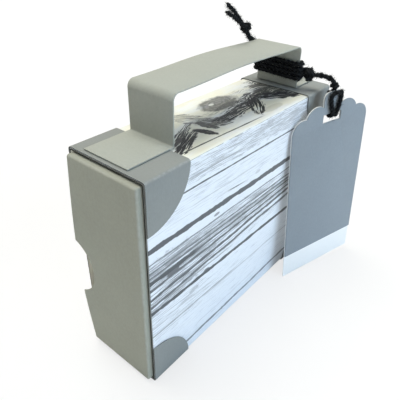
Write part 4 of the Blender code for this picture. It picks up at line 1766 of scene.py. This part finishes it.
@dataclass
class Studio:
    """The camera, the lamps, the world, the floor and a grey screen at the left.

    Attributes:
        place: Where it stands.
        sky: The colour of the even light.
    """

    azimuth: float = -50.96
    elevation: float = 33.55
    roll: float = 1.58
    lens: float = 38.93
    sensor: float = 36.0
    clip: tuple[float, float] = (0.005, 20.0)
    place: Point = (-0.13694, -0.10299, 0.16895)
    sky: tuple[float, ...] = (1.0, 0.99, 0.97, 1)
    sky_strength: float = 0.45
    lamps: tuple[Lamp, ...] = (
        Lamp("window", (0.04, -0.30, -1.0), 2.60, 40, (1.0, 0.98, 0.87)),
        Lamp("cool_fill", (-0.10, 1.0, -0.30), 1.75, 60, (0.50, 0.74, 1.0)),
    )
    boards: tuple[Board, ...] = (
        Board(
            "floor", "white_floor", 12, (0, 0, -0.00005), (0, 0, 0), (0.84, 0.84, 0.845),
            rough=0.9, specular=0.1, white=0.70,
        ),
        Board(
            "grey_screen", "screen_board", 1.6, (-0.55, 0.2, 0.75), (0, math.pi / 2, 0), (0.42, 0.42, 0.41),
            rough=1.0, specular=0.5, white=1.0,
        ),
    )

    def camera(self) -> None:
        """Places the camera where the photograph was taken."""
        a, e, r = (math.radians(x) for x in (self.azimuth, self.elevation, self.roll))
        back = Vector((math.sin(a) * math.cos(e), -math.cos(a) * math.cos(e), math.sin(e)))
        right = Vector((math.cos(a), math.sin(a), 0))
        up = back.cross(right)
        across = right * math.cos(r) + up * math.sin(r)
        upright = up * math.cos(r) - right * math.sin(r)
        data = bpy.data.cameras.new("camera")
        data.lens, data.sensor_width = self.lens, self.sensor
        data.clip_start, data.clip_end = self.clip
        made = bpy.data.objects.new("camera", data)
        bpy.context.scene.collection.objects.link(made)
        turned = Matrix((across, upright, back)).transposed()
        made.matrix_world = Matrix.Translation(self.place) @ turned.to_4x4()
        bpy.context.scene.camera = made

    def world(self) -> None:
        """Gives even light, and white where the camera or a gloss sees past the floor."""
        world = bpy.data.worlds.new("studio")
        bpy.context.scene.world = world
        world.use_nodes = True
        t = Tree(world.node_tree)
        lit = world.node_tree.nodes["Background"]
        lit.inputs["Color"].default_value = self.sky
        lit.inputs["Strength"].default_value = self.sky_strength
        seen = t.node("ShaderNodeBackground", {"Color": WHITE, "Strength": 1.0})
        path = t.node("ShaderNodeLightPath")
        direct = t.math("MAXIMUM", path.outputs["Is Camera Ray"], path.outputs["Is Glossy Ray"])
        direct = t.math("MAXIMUM", direct, path.outputs["Is Transmission Ray"])
        mixed = t.node("ShaderNodeMixShader", {0: direct, 1: lit.outputs[0], 2: seen.outputs[0]})
        t.feed(world.node_tree.nodes["World Output"].inputs["Surface"], mixed.outputs[0])

    def build(self) -> None:
        """Sets up the whole studio."""
        bpy.context.scene.view_settings.view_transform = "Standard"
        self.camera()
        for lamp in self.lamps:
            lamp.build()
        self.world()
        for board in self.boards:
            board.build()


def build_finishes() -> dict[str, Material]:
    """Makes the shared groups and every material once.

    Returns:
        The materials by name.
    """
    SHARED.update(
        grain=card_grain_group(), wear=fold_wear_group(), line=plank_line_group(),
        streak=grain_streak_group(), spot=ink_spot_group(),
    )
    grey, pale = (0.262, 0.275, 0.265), (0.47, 0.48, 0.46)
    white, bright, brown = (0.92, 0.93, 0.93), (0.95, 0.95, 0.95), (0.2, 0.2, 0.18)
    # Painted shade: the cut edges at the box's ends are made near black to stand in for the shadowed gap
    # between sleeve and tray.
    cut = CardFinish("cut_card_edge_painted_shade", (0.022, 0.021, 0.019), brown, fleck=0.5, mottle=0.8)
    # Painted light: a colour paler than the card and a glow on the inside of the sleeve's back stand in for
    # light reaching it through the notch.
    inside = CardFinish("sleeve_inner_side_painted_light", (0.62, 0.61, 0.52), pale, fleck=0.05, mottle=0.03, glow=0.30)
    return {
        "card": CardFinish("sleeve_grey_card", (0.33, 0.33, 0.30), pale).build(box_fold_distance),
        "cut": cut.build(),
        "corner": CardFinish("corner_grey_card", grey, pale).build(box_fold_distance),
        "handle": CardFinish("handle_grey_card", (0.375, 0.388, 0.348), pale, mottle=0.08).build(),
        "tray": CardFinish("tray_grey_card", (0.35, 0.355, 0.30), pale).build(tray_fold_distance),
        "tag": CardFinish("tag_blue_grey_card", (0.275, 0.312, 0.345), pale).build(),
        "inside": inside.build(),
        "white": CardFinish("white_card", white, bright, fleck=0.05, mottle=0.03).build(),
        "wood_front": FRONT_PRINT.build(),
        "wood_top": TOP_PRINT.build(),
        "wood_back": BACK_PRINT.build(),
        "twine": TwineFinish().build(),
    }


def main() -> None:
    """Builds everything in order."""
    logging.basicConfig(level=logging.INFO)
    Studio().build()
    finishes = build_finishes()
    TwineWork(finishes["twine"]).build()
    Case(finishes).build()
    Tray(finishes["tray"]).build()
    Handle(finishes["handle"]).build()
    Tag(finishes["tag"], finishes["white"]).build()
    Bench.clear()


if __name__ == "__main__":
    main()
